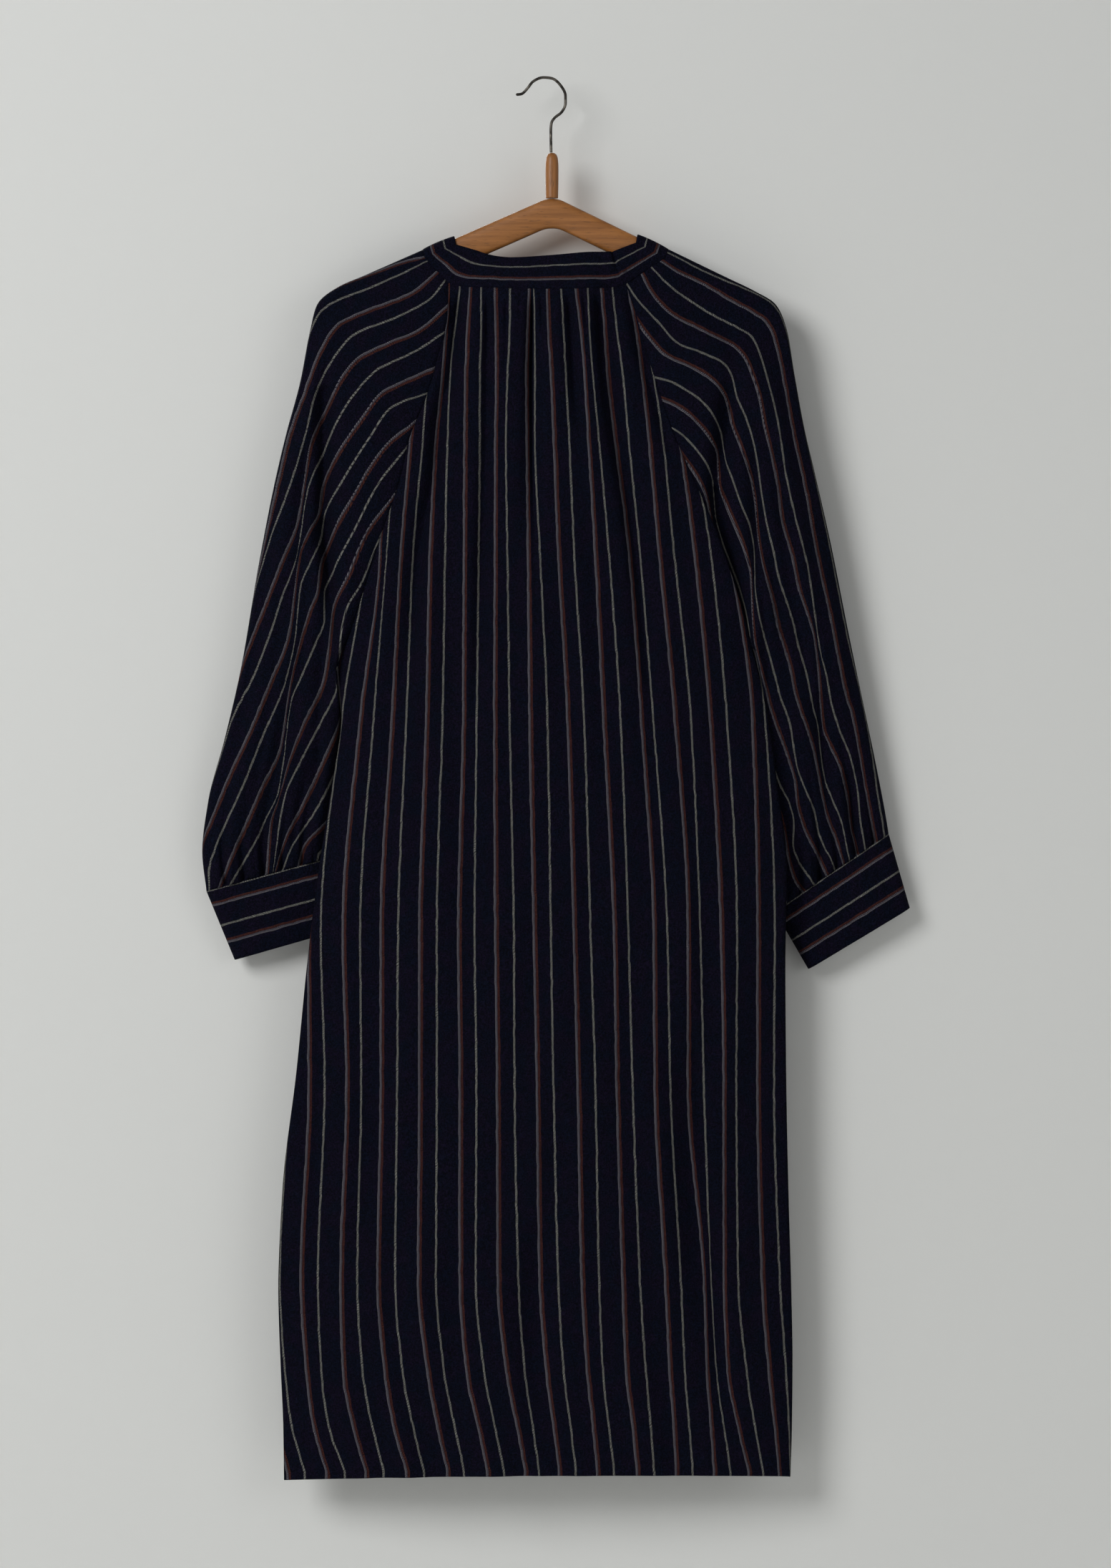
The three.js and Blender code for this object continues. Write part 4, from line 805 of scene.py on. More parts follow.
def sleeve_cloth(name, rows, columns, wall):
    hand = -1 if name == "left" else 1
    sections = SLEEVES[name]
    last = len(sections) - 1
    knots = np.arange(last + 1)
    middle = (sections[:, :3] + sections[:, 3:6]) / 2
    way = lengths(middle)
    r = np.interp(np.linspace(0, 1, rows + 1) * way[-1], way, knots)
    section = through(knots, sections, r)[:, None, :]
    bend_left = through(knots, np.array(RAGLAN_LEFT, float), r)[:, None, None]
    s = shares_of_sleeve(columns)
    halves = {}
    for face, side in (("back", -1), ("front", 1)):
        shares = np.broadcast_to(s[None, :], (rows + 1, columns + 1))
        start = tube_point(sections[0][None, :], side, s)
        bend = armhole(name, face, s) - start
        point = tube_point(section, side, shares) + bend_left * bend[None, :, :]
        inside = smooth(5 * shares) * smooth(5 * (1 - shares))
        point[..., 1] -= side * press(SLEEVE_FOLDS[name], side, point[..., 0],
                                      point[..., 2]) * inside
        halves[face] = point
    guides = LEFT_GUIDES if name == "left" else RIGHT_GUIDES
    back_across = sleeve_across(hand, guides, halves["back"][..., 0], halves["back"][..., 2])
    turned_edge = np.broadcast_to(1 - smooth(s / 0.07) * smooth((1 - s) / 0.13),
                                  back_across.shape)
    back_across = unrolled(back_across, halves["back"], turned_edge)
    across = {"back": back_across, "front": 2 * back_across[:, :1] - back_across}
    folds = {"back": SLEEVE_BACK_CREASES[name], "front": SLEEVE_FRONT_CREASES[name]}
    for face, side in (("back", -1), ("front", 1)):
        point = halves[face]
        to_cuff = lengths(point[::-1])[::-1]
        to_neck = lengths(point)
        edge = smooth(11 * s) * smooth(11 * (1 - s))
        fine = creases(folds[face], point[..., 0].copy(), point[..., 2].copy()) * edge
        fine -= pleats(s[None, :] * 100, to_cuff, CUFF_PLEATS[name]) * edge
        fine += ROLL * np.exp(-(to_neck / ROLL_WIDTH) ** 2) * edge
        fine -= CUFF_PUFF * np.exp(-((to_cuff - 13) / 9) ** 2) * edge
        draw = random.Random(21 + (face == "front") + 2 * (name == "left"))
        for _ in range(6):
            long, lean = draw.uniform(20, 46), draw.uniform(-0.06, 0.06)
            phase, bow = draw.uniform(0, 6.3), draw.uniform(90, 190)
            wave = np.sin(2 * math.pi * (s[None, :] * 100 + lean * to_neck) / long + phase
                          + 1.2 * np.sin(to_neck / bow + phase))
            fine += 0.55 * wave * edge * smooth((to_neck - 25) / 60)
        point[..., 1] -= side * fine
    grid = np.concatenate([halves["front"][:, ::-1], halves["back"][:, 1:]], axis=1)
    grid[-1] -= cuff_axis(name) * SEAM_SHIFT
    cloth_across = np.concatenate([across["front"][:, ::-1], across["back"][:, 1:]], axis=1)
    values = {"across": cloth_across, "along": lengths(grid)}
    # the two ends of each row meet at the underarm seam
    grid[:, 0, 1] += 0.1
    grid[:, -1, 1] -= 0.1
    fixed = np.full(grid.shape, np.nan)
    fixed[0, :, :] = [0, 0, 0]
    fixed[0, :columns] = [0, -1, 0]
    fixed[0, columns + 1:] = [0, 1, 0]
    fixed[0, columns - 8:columns + 9] = np.nan
    return cloth_shell(name="sleeve_" + name + "_cloth", grid=grid, wall=wall,
                       flip=hand, fixed=fixed, values=values)


def cuff_cloth(name, rows, columns, wall):
    hand = -1 if name == "left" else 1
    s = shares_of_sleeve(columns)
    axis = cuff_axis(name)
    faces = []
    for side in (1, -1):
        start = tube_point(SLEEVES[name][-1][None, :], side, s) + axis * SEAM_SHIFT
        end = tube_point(CUFF_HEMS[name][None, :], side, s)
        share = np.linspace(0, 1, rows + 1)[:, None]
        point = lerp(start[None], end[None], share[..., None])
        edge = smooth(8 * s) * smooth(8 * (1 - s))
        pucker = pleats(s[None, :] * 100, share * 62.0, CUFF_SEAM_PUCKERS)
        ease = np.sin(math.pi * share) * CUFF_BULGE
        wave = 0.5 * np.sin(s[None, :] * 17 + share * 2.2 + hand) * np.sin(math.pi * share)
        point[..., 1] += side * (pucker + ease + wave) * edge
        faces.append(point)
    grid = np.concatenate([faces[0][:, ::-1], faces[1][:, 1:-1]], axis=1)
    share = np.broadcast_to(np.linspace(0, 1, rows + 1)[:, None], grid.shape[:2])
    round_way = lengths(np.moveaxis(grid, 0, 1)).T
    values = {"across": through(CUFF_STRIPES[0], np.array(CUFF_STRIPES[1], float), share),
              "along": round_way}
    return cloth_shell("cuff_" + name + "_cloth", grid, wall, around=True, flip=hand,
                       values=values)


def neckband_cloth(rows, back_columns, front_columns, wall):
    neck = neck_rows(back_columns, front_columns)
    ring = np.vstack([
        neck["back"],
        neck["left_back"][:-1][::-1],
        neck["left_front"][1:],
        neck["front"][1:],
        neck["right_front"][:-1][::-1],
        neck["right_back"][1:-1],
    ])
    share = np.linspace(0, 1, rows + 1)[:, None, None]
    grid = lerp(seam_line(ring, 1)[None], ring[None, :, 3:], share)
    around = np.roll(ring[:, :3], -1, axis=0) - np.roll(ring[:, :3], 1, axis=0)
    into = np.cross(around, ring[:, 3:] - ring[:, :3])
    into /= np.linalg.norm(into, axis=1, keepdims=True)
    way = lengths(ring[:, :3])
    roll = 0.9 * np.sin(math.pi * share[..., 0]) ** 0.8
    tug = sum(high * np.sin(way / long + phase)
              for high, long, phase in ((0.35, 5.3, 0.4), (0.45, 11.0, 2.0), (0.3, 3.1, 4.4)))
    roll = roll + tug[None, :] * (1 - share[..., 0]) * 0.8
    turn = np.abs(ring[:, 0] - BAND_CREASE_X) / BAND_CREASE_WIDTH
    crease = BAND_CREASE_DEPTH * np.exp(-turn ** 2) * (ring[:, 1] < 0)
    roll = roll - crease[None, :] * smooth(share[..., 0] * 1.6 - 0.3)
    grid = grid - into[None] * roll[..., None]
    slip = smooth((ring[:, 0] - BAND_CREASE_X) / 3) * (ring[:, 1] < 2)
    across = BAND_ACROSS[0] + BAND_ACROSS[1] * share[..., 0] + 0 * way[None, :]
    across = across - BAND_SLIP * slip[None, :]
    values = {"across": across, "along": np.broadcast_to(way[None, :], across.shape)}
    fixed = np.broadcast_to(into[None], grid.shape).copy()
    return cloth_shell("neckband_cloth", grid, wall, around=True, flip=-1, fixed=fixed,
                       values=values)


# ------------------------------------------------------------------ hanger
def bar_top(x):
    """Ridge of the bar: two slopes and a short level top, with soft bends between."""
    x = x[:, None] + np.linspace(-BAR_BEND, BAR_BEND, 9)
    left = BAR_TOP_Z - BAR_SLOPES[0] * np.maximum(0, BAR_TOP_X[0] - x)
    right = BAR_TOP_Z - BAR_SLOPES[1] * np.maximum(0, x - BAR_TOP_X[1])
    return np.minimum(left, right).mean(axis=1)


def closed_tube(name, rings, values=None):
    """Mesh through rings of points, closed with a point at each end."""
    count, sides = rings.shape[:2]
    index = np.arange(count * sides).reshape(count, sides)
    nxt = np.roll(index, -1, axis=1)
    faces = np.stack([index[:-1], nxt[:-1], nxt[1:], index[1:]], axis=-1).reshape(-1, 4)
    points = rings.reshape(-1, 3)
    ends = np.array([rings[0].mean(0), rings[-1].mean(0)])
    mesh = bpy.data.meshes.new(name)
    tip, tail = count * sides, count * sides + 1
    caps = [[tip, int(b), int(a)] for a, b in zip(index[0], nxt[0])]
    caps += [[tail, int(a), int(b)] for a, b in zip(index[-1], nxt[-1])]
    mesh.from_pydata((np.vstack([points, ends]) * MM).tolist(), [],
                     faces.tolist() + caps)
    mesh.polygons.foreach_set("use_smooth", np.ones(len(mesh.polygons), bool))
    for key, numbers in (values or {}).items():
        layer = mesh.attributes.new(key, "FLOAT", "POINT")
        flat = np.concatenate([np.ravel(numbers), np.ravel(numbers)[[0, -1]]])
        layer.data.foreach_set("value", flat.astype(np.float32))
    mesh.update()
    piece = bpy.data.objects.new(name, mesh)
    bpy.context.scene.collection.objects.link(piece)
    return piece


def hanger_bar_wood():
    stations = np.array(BAR_STATIONS, float)
    x = np.concatenate([np.linspace(stations[0, 0], stations[4, 0], 26)[:-1],
                        np.linspace(stations[4, 0], stations[-5, 0], 130)[:-1],
                        np.linspace(stations[-5, 0], stations[-1, 0], 26)])
    drop, depth, thick = through(stations[:, 0], stations[:, 1:], x).T
    top = bar_top(x) - drop
    sides = 40
    angle = np.linspace(0, 2 * math.pi, sides, endpoint=False)
    cosine, sine = np.cos(angle), np.sin(angle)
    power = 2 / BAR_SQUARENESS
    flat_y = np.sign(cosine) * np.abs(cosine) ** power
    flat_z = np.sign(sine) * np.abs(sine) ** power
    middle = top - depth / 2
    rings = np.stack([np.broadcast_to(x[:, None], (len(x), sides)),
                      thick[:, None] / 2 * flat_y[None, :],
                      middle[:, None] + depth[:, None] / 2 * flat_z[None, :]], axis=-1)
    return closed_tube("hanger_bar_wood", rings)


def hanger_stem_wood():
    profile = np.array(STEM_PROFILE, float)
    way = lengths(profile)
    fine = spread(profile, np.linspace(0, 1, 70))
    soft = through(way / way[-1], profile, np.linspace(0, 1, 70))
    fine[:, 0] = lerp(fine[:, 0], soft[:, 0], 0.6)
    angle = np.linspace(0, 2 * math.pi, 48, endpoint=False)
    rings = np.stack([STEM_X + fine[:, :1] * np.cos(angle)[None, :],
                      fine[:, :1] * np.sin(angle)[None, :],
                      np.broadcast_to(STEM_TOP + fine[:, 1:], (70, 48))], axis=-1)
    return closed_tube("hanger_stem_wood", rings[::-1])


def hanger_hook_wire(radius):
    path = np.array([(x, 0.0, z) for x, z in HOOK_WIRE])
    way = lengths(path)
    fine = through(way, path, np.linspace(0, way[-1], 160))
    for _ in range(6):
        fine[1:-1] = (fine[:-2] + 2 * fine[1:-1] + fine[2:]) / 4
    tangent = np.gradient(fine, axis=0)
    tangent /= np.linalg.norm(tangent, axis=1, keepdims=True)
    side = np.cross([0, 1, 0], tangent)
    angle = np.linspace(0, 2 * math.pi, 20, endpoint=False)
    from_tip = lengths(fine)
    full = radius * np.sqrt(1 - (1 - clamp(from_tip / radius)) ** 2 * 0.98)
    rings = (fine[:, None, :]
             + full[:, None, None] * (np.cos(angle)[None, :, None] * side[:, None, :]
                                      + np.sin(angle)[None, :, None] * np.array([0, 1, 0])))
    return closed_tube("hanger_hook_wire", rings)

# ------------------------------------------------------------------ folds and gathers
BODY_ROWS = (30, 56, 92, 22)  # rows from the neck down, in four bands
SLACK = 0.45
NECK_PUFF = 1.2
HEM_DEPTH = 23.0
HEM_STEP = 0.4
CUFF_PUFF = 1.6
CUFF_BULGE = 0.7

# Gathers under the neckband, by their place across the cloth: place, height, width, length.
# Below nought they are the valleys between.
NECK_PLEATS = [
    (-92, -4.4, 4.0, 140), (-84, 1.9, 4.0, 60), (-62, 2.4, 5.0, 100), (-49, -5.0, 3.4, 210),
    (-42, 1.8, 3.0, 80), (-24, -3.9, 3.0, 120), (-15, 1.6, 4.0, 55), (-5, 2.2, 4.0, 150),
    (7.4, -8.5, 3.0, 380), (17, 2.0, 3.0, 120), (25, -4.6, 2.6, 80), (32, 1.8, 3.0, 60),
    (45, 2.0, 4.0, 110), (58, -5.0, 3.2, 130), (66, 2.0, 3.4, 70), (80, -4.8, 2.6, 60),
    (88, 2.0, 3.0, 60), (99, -6.0, 3.6, 170), (108, 2.0, 4.0, 60), (124, -3.6, 4.0, 90),
] + scattered(5, -104, 130, 6.0, 1.6, 1.5, 26)

# Gathers above the cuffs, by their share of the sleeve's width in hundredths.
CUFF_PLEATS = {
    "left": [(16, -7.0, 2.0, 100), (22, 3.0, 2.6, 60), (31, -7.5, 1.9, 75), (38, 2.7, 2.4, 50),
             (47, -9.0, 2.4, 140), (55, 2.8, 2.4, 60), (63, -8.0, 1.9, 75),
             (70, 3.0, 2.6, 80), (79, -8.0, 2.1, 90), (86, 2.2, 2.0, 40)]
    + scattered(6, 8, 92, 3.6, 2.3, 1.0, 28),
    "right": [(13, -6.0, 1.9, 70), (21, 2.6, 2.2, 50), (28, -8.0, 2.3, 130),
              (36, 3.0, 2.8, 60), (46, -7.5, 2.0, 70), (53, 2.8, 2.4, 50),
              (60, -9.0, 2.4, 140), (69, 2.8, 2.2, 50), (77, -8.0, 2.0, 75),
              (86, 2.4, 2.2, 40)] + scattered(8, 8, 92, 3.6, 2.3, 1.0, 28),
}
CUFF_SEAM_PUCKERS = scattered(9, 6, 94, 4.0, 1.0, 1.1, 14)

# Where the stripes lie on a cuff (shares of its depth, places across the cloth) and on the
# neckband (place at its seam, range up to its free edge).
CUFF_STRIPES = ((0, 0.19, 0.5, 0.725, 1), (50.6, 35.7, 15, 0, -18))
BAND_ACROSS = (-11.5, 39.9)
BAND_CREASE_X, BAND_CREASE_WIDTH, BAND_CREASE_DEPTH, BAND_SLIP = 70.5, 2.8, 3.4, 1.6

# Folds that only the scene has: path of (x, z), depth, widths to -X and +X of it, shares of
# the depth at its top and at its end.
BACK_CREASES = [
    ([(-77, -196), (-83.8, -266), (-94.7, -312), (-98.8, -361), (-109.6, -415), (-116, -480),
      (-122, -560)], 12.0, 7.5, 7.5, 1, 0.1),
    ([(-50, -230), (-51, -300), (-54, -388), (-57, -470), (-62, -600)], 8.5, 6, 8, 0.4, 0),
    ([(52, -198), (58.6, -261), (64.8, -320), (77, -388), (82.4, -428), (89, -483), (100, -580)],
     11.5, 7.0, 7.5, 1, 0.1),
    ([(91, -225), (96, -274), (103, -296), (110, -320), (119, -355)], 6.0, 6, 4, 0.6, 0),
    ([(81, -198), (84, -230), (92, -270)], 6.0, 5.0, 5.0, 1, 0),
    ([(23, -200), (27, -262), (33, -330)], 6.0, 5.0, 6.0, 1, 0),
    ([(14, -420), (20, -500), (30, -600)], 2.2, 4.0, 6.0, 0, 0),
    ([(129, -760), (134, -850), (146, -960), (153, -1060), (157, -1150), (166, -1220)],
     4.5, 7.0, 4.0, 0, 0.1),
    ([(146, -880), (151, -960), (162, -1060), (172, -1150), (186, -1240)], -2.2, 5, 12, 0, 0.2),
    ([(-76, -330), (-79, -520), (-78, -700), (-72, -900)], 1.6, 9, 14, 0, 0),
    ([(-40, -300), (-37, -480), (-30, -680)], 1.4, 10, 9, 0.5, 0),
    ([(28, -260), (41, -420), (52, -600)], 1.6, 9, 7, 0.8, 0),
    ([(76, -330), (91, -480), (104, -640), (112, -820)], 1.8, 8, 12, 0.3, 0),
    ([(-112, -420), (-128, -560), (-140, -720), (-143, -860)], 1.6, 12, 8, 0, 0),
    ([(134, -470), (152, -600), (160, -760)], 1.6, 9, 9, 0, 0),
    ([(-21, -800), (-18, -950), (-6, -1110), (10, -1260)], 2.6, 16, 11, 0, 0.7),
    ([(-69, -620), (-70, -780), (-76, -960)], 1.3, 12, 10, 0, 0),
    ([(58, -720), (62, -880), (74, -1040)], 1.5, 10, 14, 0, 0),
    ([(-190, -740), (-202, -900), (-208, -1040), (-196, -1180)], 2.4, 9, 16, 0, 0.3),
    ([(-128, -1010), (-134, -1130), (-110, -1262)], 1.8, 14, 12, 0, 0.8),
    ([(96, -1060), (100, -1160), (112, -1262)], 1.6, 12, 12, 0, 0.8),
    ([(198, -780), (196, -930), (204, -1100), (214, -1230)], 1.8, 10, 9, 0, 0.2),
]
FRONT_CREASES = [
    ([(-60, -320), (-82, -520), (-96, -760)], 2.0, 10, 8, 0.5, 0),
    ([(36, -300), (48, -470), (56, -700)], 2.2, 8, 10, 0.6, 0),
    ([(96, -420), (120, -620), (136, -860)], 2.0, 12, 8, 0, 0),
    ([(-126, -620), (-140, -820), (-150, -1080)], 2.4, 9, 12, 0, 0.2),
    ([(0, -720), (-8, -930), (-4, -1180)], 2.2, 14, 12, 0, 0.5),
    ([(150, -900), (158, -1060), (150, -1262)], 2.6, 8, 12, 0, 0.7),
    ([(78, -980), (84, -1110), (70, -1268)], 2.0, 12, 12, 0, 0.8),
    ([(-74, -1000), (-80, -1130), (-66, -1268)], 2.0, 12, 12, 0, 0.8),
]
SLEEVE_BACK_CREASES = {
    "left": [
        ([(-150, -215), (-176, -232), (-196, -262), (-206, -310), (-212, -380)], 3.1, 8, 7, 0, 0),
        ([(-197, -262), (-200, -310), (-200, -374), (-197.6, -415), (-190, -500)],
         10.0, 6, 8, 0, 0.2),
        ([(-205, -400), (-214, -470), (-222, -545), (-236, -620)], 4.0, 4.5, 6, 0, 0),
        ([(-196, -470), (-203, -560), (-206, -640), (-222, -715)], 5.0, 5, 4, 0.2, 0.4),
        ([(-232, -470), (-246, -560), (-262, -650), (-276, -720)], 2.8, 6, 6, 0, 0.5),
        ([(-196, -560), (-214, -650), (-238, -728)], -2.5, 5, 6, 0, 0.4),
        ([(-240, -590), (-258, -670), (-268, -730)], 3.7, 3.5, 5, 0, 0.6),
        ([(-217, -640), (-228, -690), (-233, -726)], 4.0, 3.0, 4, 0, 0.8),
    ],
    "right": [
        ([(146, -214), (166, -230), (172, -262), (168, -320), (162, -380)], 3.7, 6, 8, 0, 0.2),
        ([(168, -285), (161, -334), (156, -374), (161, -410), (180, -475), (191, -523)],
         11.0, 7, 7, 0.1, 0.3),
        ([(190, -330), (194, -400), (197, -460), (208, -520)], 3.4, 5, 5, 0, 0),
        ([(214, -360), (217, -420), (232, -500), (248, -570)], 2.8, 6, 5, 0, 0),
        ([(248, -480), (251, -545), (257, -620), (262, -690)], 4.7, 3.5, 4.5, 0.1, 0.5),
        ([(212, -560), (226, -640), (244, -700)], 2.8, 6, 6, 0, 0.5),
        ([(272, -590), (280, -650), (283, -705)], 3.7, 4, 3.5, 0, 0.8),
        ([(246, -705), (250, -722), (256, -735)], 5.0, 3.5, 4, 0.4, 0.8),
    ],
}
SLEEVE_FRONT_CREASES = {
    "left": [
        ([(-180, -240), (-200, -320), (-212, -420), (-230, -540)], 4.7, 6, 5, 0, 0),
        ([(-196, -420), (-214, -540), (-232, -650), (-250, -725)], 4.3, 5, 6, 0, 0.4),
        ([(-246, -480), (-262, -600), (-282, -715)], 3.4, 5, 6, 0, 0.5),
    ],
    "right": [
        ([(178, -240), (196, -320), (210, -430), (226, -540)], 4.7, 5, 6, 0, 0),
        ([(200, -440), (220, -560), (236, -650), (252, -715)], 4.3, 6, 5, 0, 0.4),
        ([(246, -460), (264, -580), (284, -690)], 3.4, 6, 5, 0, 0.5),
    ],
}

BAR_TOP_X, BAR_TOP_Z = (2.6, 14.2), -109.3
BAR_SLOPES = (0.438, 0.486)
BAR_BEND = 4.0  # half of the length over which the bar bends
BAR_SQUARENESS = 3.2  # 2 is an ellipse; above it the bar's faces are flat
# Stations of the bar: x, drop of its ridge, depth, thickness.
BAR_STATIONS = [
    (-203.0, 16.0, 7, 6), (-200.5, 9.5, 16, 10.5), (-195.5, 4.6, 22.5, 11.6),
    (-187.0, 1.2, 26, 11.6), (-176.0, 0, 27, 11.6), (2.6, 0, 27, 11.6), (14.2, 0, 27, 11.6),
    (182.0, 0, 27, 11.6), (193.0, 1.2, 26, 11.6), (202.0, 4.6, 22.5, 11.6),
    (207.5, 9.5, 16, 10.5), (210.0, 16.0, 7, 6),
]
STEM_X, STEM_TOP = 8.2, -67.3
STEM_PROFILE = [(0.5, 0), (2.4, -0.3), (4.2, -1.8), (5.3, -4.8), (5.9, -10.5), (6.0, -17),
                (5.9, -28), (5.6, -41.4), (1.0, -41.4)]
HOOK_WIRE = [
    (-24.8, -14.3), (-20.2, -14.0), (-14.3, -8.9), (-9.1, -2.4), (0.0, 1.3), (7.8, 0.6),
    (15.3, -5.0), (20.5, -15.4), (20.5, -22.6), (16.9, -30.4), (10.4, -35.6), (7.6, -40.4),
    (7.1, -46.9), (7.4, -66.9),
]


# ------------------------------------------------------------------ materials
def add_node(tree, kind, inputs=None, **settings):
    """Add a node with its settings, values and links. Returns its first output in use."""
    node = tree.nodes.new(kind)
    for key, value in settings.items():
        setattr(node, key, value)
    for key, value in (inputs or {}).items():
        if isinstance(value, bpy.types.NodeSocket):
            tree.links.new(value, node.inputs[key])
        else:
            node.inputs[key].default_value = value
    return next((socket for socket in node.outputs if socket.enabled), node)


def new_material(name):
    material = bpy.data.materials.get(name)
    if material:
        return material, None
    material = bpy.data.materials.new(name)
    material.use_nodes = True
    material.node_tree.nodes.clear()
    return material, material.node_tree


def finish_material(tree, inputs, bump=None):
    """Principled shader with the given inputs, and a bump of (height, depth in metres)."""
    if bump:
        inputs["Normal"] = add_node(tree, "ShaderNodeBump", {
            "Strength": 1.0, "Distance": bump[1], "Height": bump[0]})
    shader = add_node(tree, "ShaderNodeBsdfPrincipled", inputs)
    add_node(tree, "ShaderNodeOutputMaterial", {"Surface": shader})


def striped_cotton(sizes):
    """Handwoven yarn-dyed cotton. Navy and violet yarns give the ground its mottle, the
    double stripe is two columns of slanted grey flecks beside rust ones, and the white
    stripe is a proud two-ply cord with its twist showing. Matt, with a little lint."""
    material, tree = new_material("handwoven_striped_cotton")
    if tree is None:
        return material
    across = add_node(tree, "ShaderNodeAttribute", attribute_name="across")
    across = across.node.outputs["Fac"]
    along = add_node(tree, "ShaderNodeAttribute", attribute_name="along").node.outputs["Fac"]
    place = add_node(tree, "ShaderNodeCombineXYZ", {"X": across, "Y": along})
    uneven = add_node(tree, "ShaderNodeTexNoise", {
        "Vector": place, "Scale": 1 / UNEVEN_SIZE, "Detail": 2.0})
    shift = add_node(tree, "ShaderNodeMath", {0: uneven, 1: UNEVEN_SHIFT, 2: -UNEVEN_SHIFT / 2},
                     operation="MULTIPLY_ADD")
    placed = add_node(tree, "ShaderNodeMath", {0: across, 1: shift}, operation="ADD")
    half = sizes.repeat / MM / 2
    cell = add_node(tree, "ShaderNodeMath", {0: placed, 1: half, 2: -half}, operation="WRAP")

    # ground: fine crinkled yarns under a slow drift between navy and violet
    surface = add_node(tree, "ShaderNodeTexCoord").node.outputs["Object"]
    fine = add_node(tree, "ShaderNodeTexNoise", {
        "Vector": surface, "Scale": 1 / (YARN_SIZE * MM), "Detail": 2.0, "Roughness": 0.6})
    yarns = add_node(tree, "ShaderNodeMapRange", {
        "Value": fine, "From Min": 0.36, "From Max": 0.64})
    drift = add_node(tree, "ShaderNodeTexNoise", {
        "Vector": surface, "Scale": 1 / (DRIFT_SIZE * MM), "Detail": 2.0})
    drift = add_node(tree, "ShaderNodeMapRange", {
        "Value": drift, "From Min": 0.4, "From Max": 0.6})
    ground = add_node(tree, "ShaderNodeMix", {
        "Factor": drift, "A": to_linear(NAVY), "B": to_linear(VIOLET)}, data_type="RGBA")
    colour = add_node(tree, "ShaderNodeMix", {
        "Factor": yarns, "A": to_linear(NAVY_DEEP), "B": ground}, data_type="RGBA")
    crinkle = add_node(tree, "ShaderNodeTexNoise", {
        "Vector": surface, "Scale": 1 / (CRINKLE_SIZE * MM), "Detail": 2.0})
    height = add_node(tree, "ShaderNodeMath", {0: crinkle, 1: CRINKLE_HEIGHT, 2: yarns},
                      operation="MULTIPLY_ADD")
    lit = add_node(tree, "ShaderNodeMapRange", {
        "Value": fine, "From Min": 0.3, "From Max": 0.62, "To Min": 0.45, "To Max": 1.0})
    ragged = add_node(tree, "ShaderNodeMath", {0: fine, 1: RAGGED, 2: -RAGGED / 2},
                      operation="MULTIPLY_ADD")
    for centre, halfwidth, pitch, slant, bare, hex_colour, proud in STRIPE_YARNS:
        off = add_node(tree, "ShaderNodeMath", {0: cell, 1: centre}, operation="SUBTRACT")
        off = add_node(tree, "ShaderNodeMath", {0: off}, operation="ABSOLUTE")
        off = add_node(tree, "ShaderNodeMath", {0: off, 1: ragged}, operation="ADD")
        band = add_node(tree, "ShaderNodeMapRange", {
            "Value": off, "From Min": halfwidth - STRIPE_SOFT,
            "From Max": halfwidth + STRIPE_SOFT,
            "To Min": 1.0, "To Max": 0.0})
        phase = add_node(tree, "ShaderNodeMath", {0: along, 1: 1 / pitch},
                         operation="MULTIPLY")
        phase = add_node(tree, "ShaderNodeMath", {0: cell, 1: slant / pitch, 2: phase},
                         operation="MULTIPLY_ADD")
        phase = add_node(tree, "ShaderNodeMath", {0: uneven, 1: FLECK_DRIFT, 2: phase},
                         operation="MULTIPLY_ADD")
        fleck = add_node(tree, "ShaderNodeMath", {0: phase, 1: 0.5}, operation="PINGPONG")
        fleck = add_node(tree, "ShaderNodeMapRange", {
            "Value": fleck, "From Min": bare - 0.06, "From Max": bare + 0.12})
        shown = add_node(tree, "ShaderNodeMath", {0: band, 1: fleck}, operation="MULTIPLY")
        height = add_node(tree, "ShaderNodeMath", {0: shown, 1: proud, 2: height},
                          operation="MULTIPLY_ADD")
        shown = add_node(tree, "ShaderNodeMath", {0: shown, 1: lit}, operation="MULTIPLY")
        colour = add_node(tree, "ShaderNodeMix", {
            "Factor": shown, "A": colour, "B": to_linear(hex_colour)}, data_type="RGBA")
    finish_material(tree, {
        "Base Color": colour, "Roughness": 0.95, "Specular IOR Level": 0.04,
        "Sheen Weight": 0.004, "Sheen Roughness": 0.5, "Sheen Tint": to_linear("#6a6a8c"),
    }, (height, YARN_RELIEF))
    return material


def turned(sizes, along):
    return sizes if along == 0 else sizes[::-1]


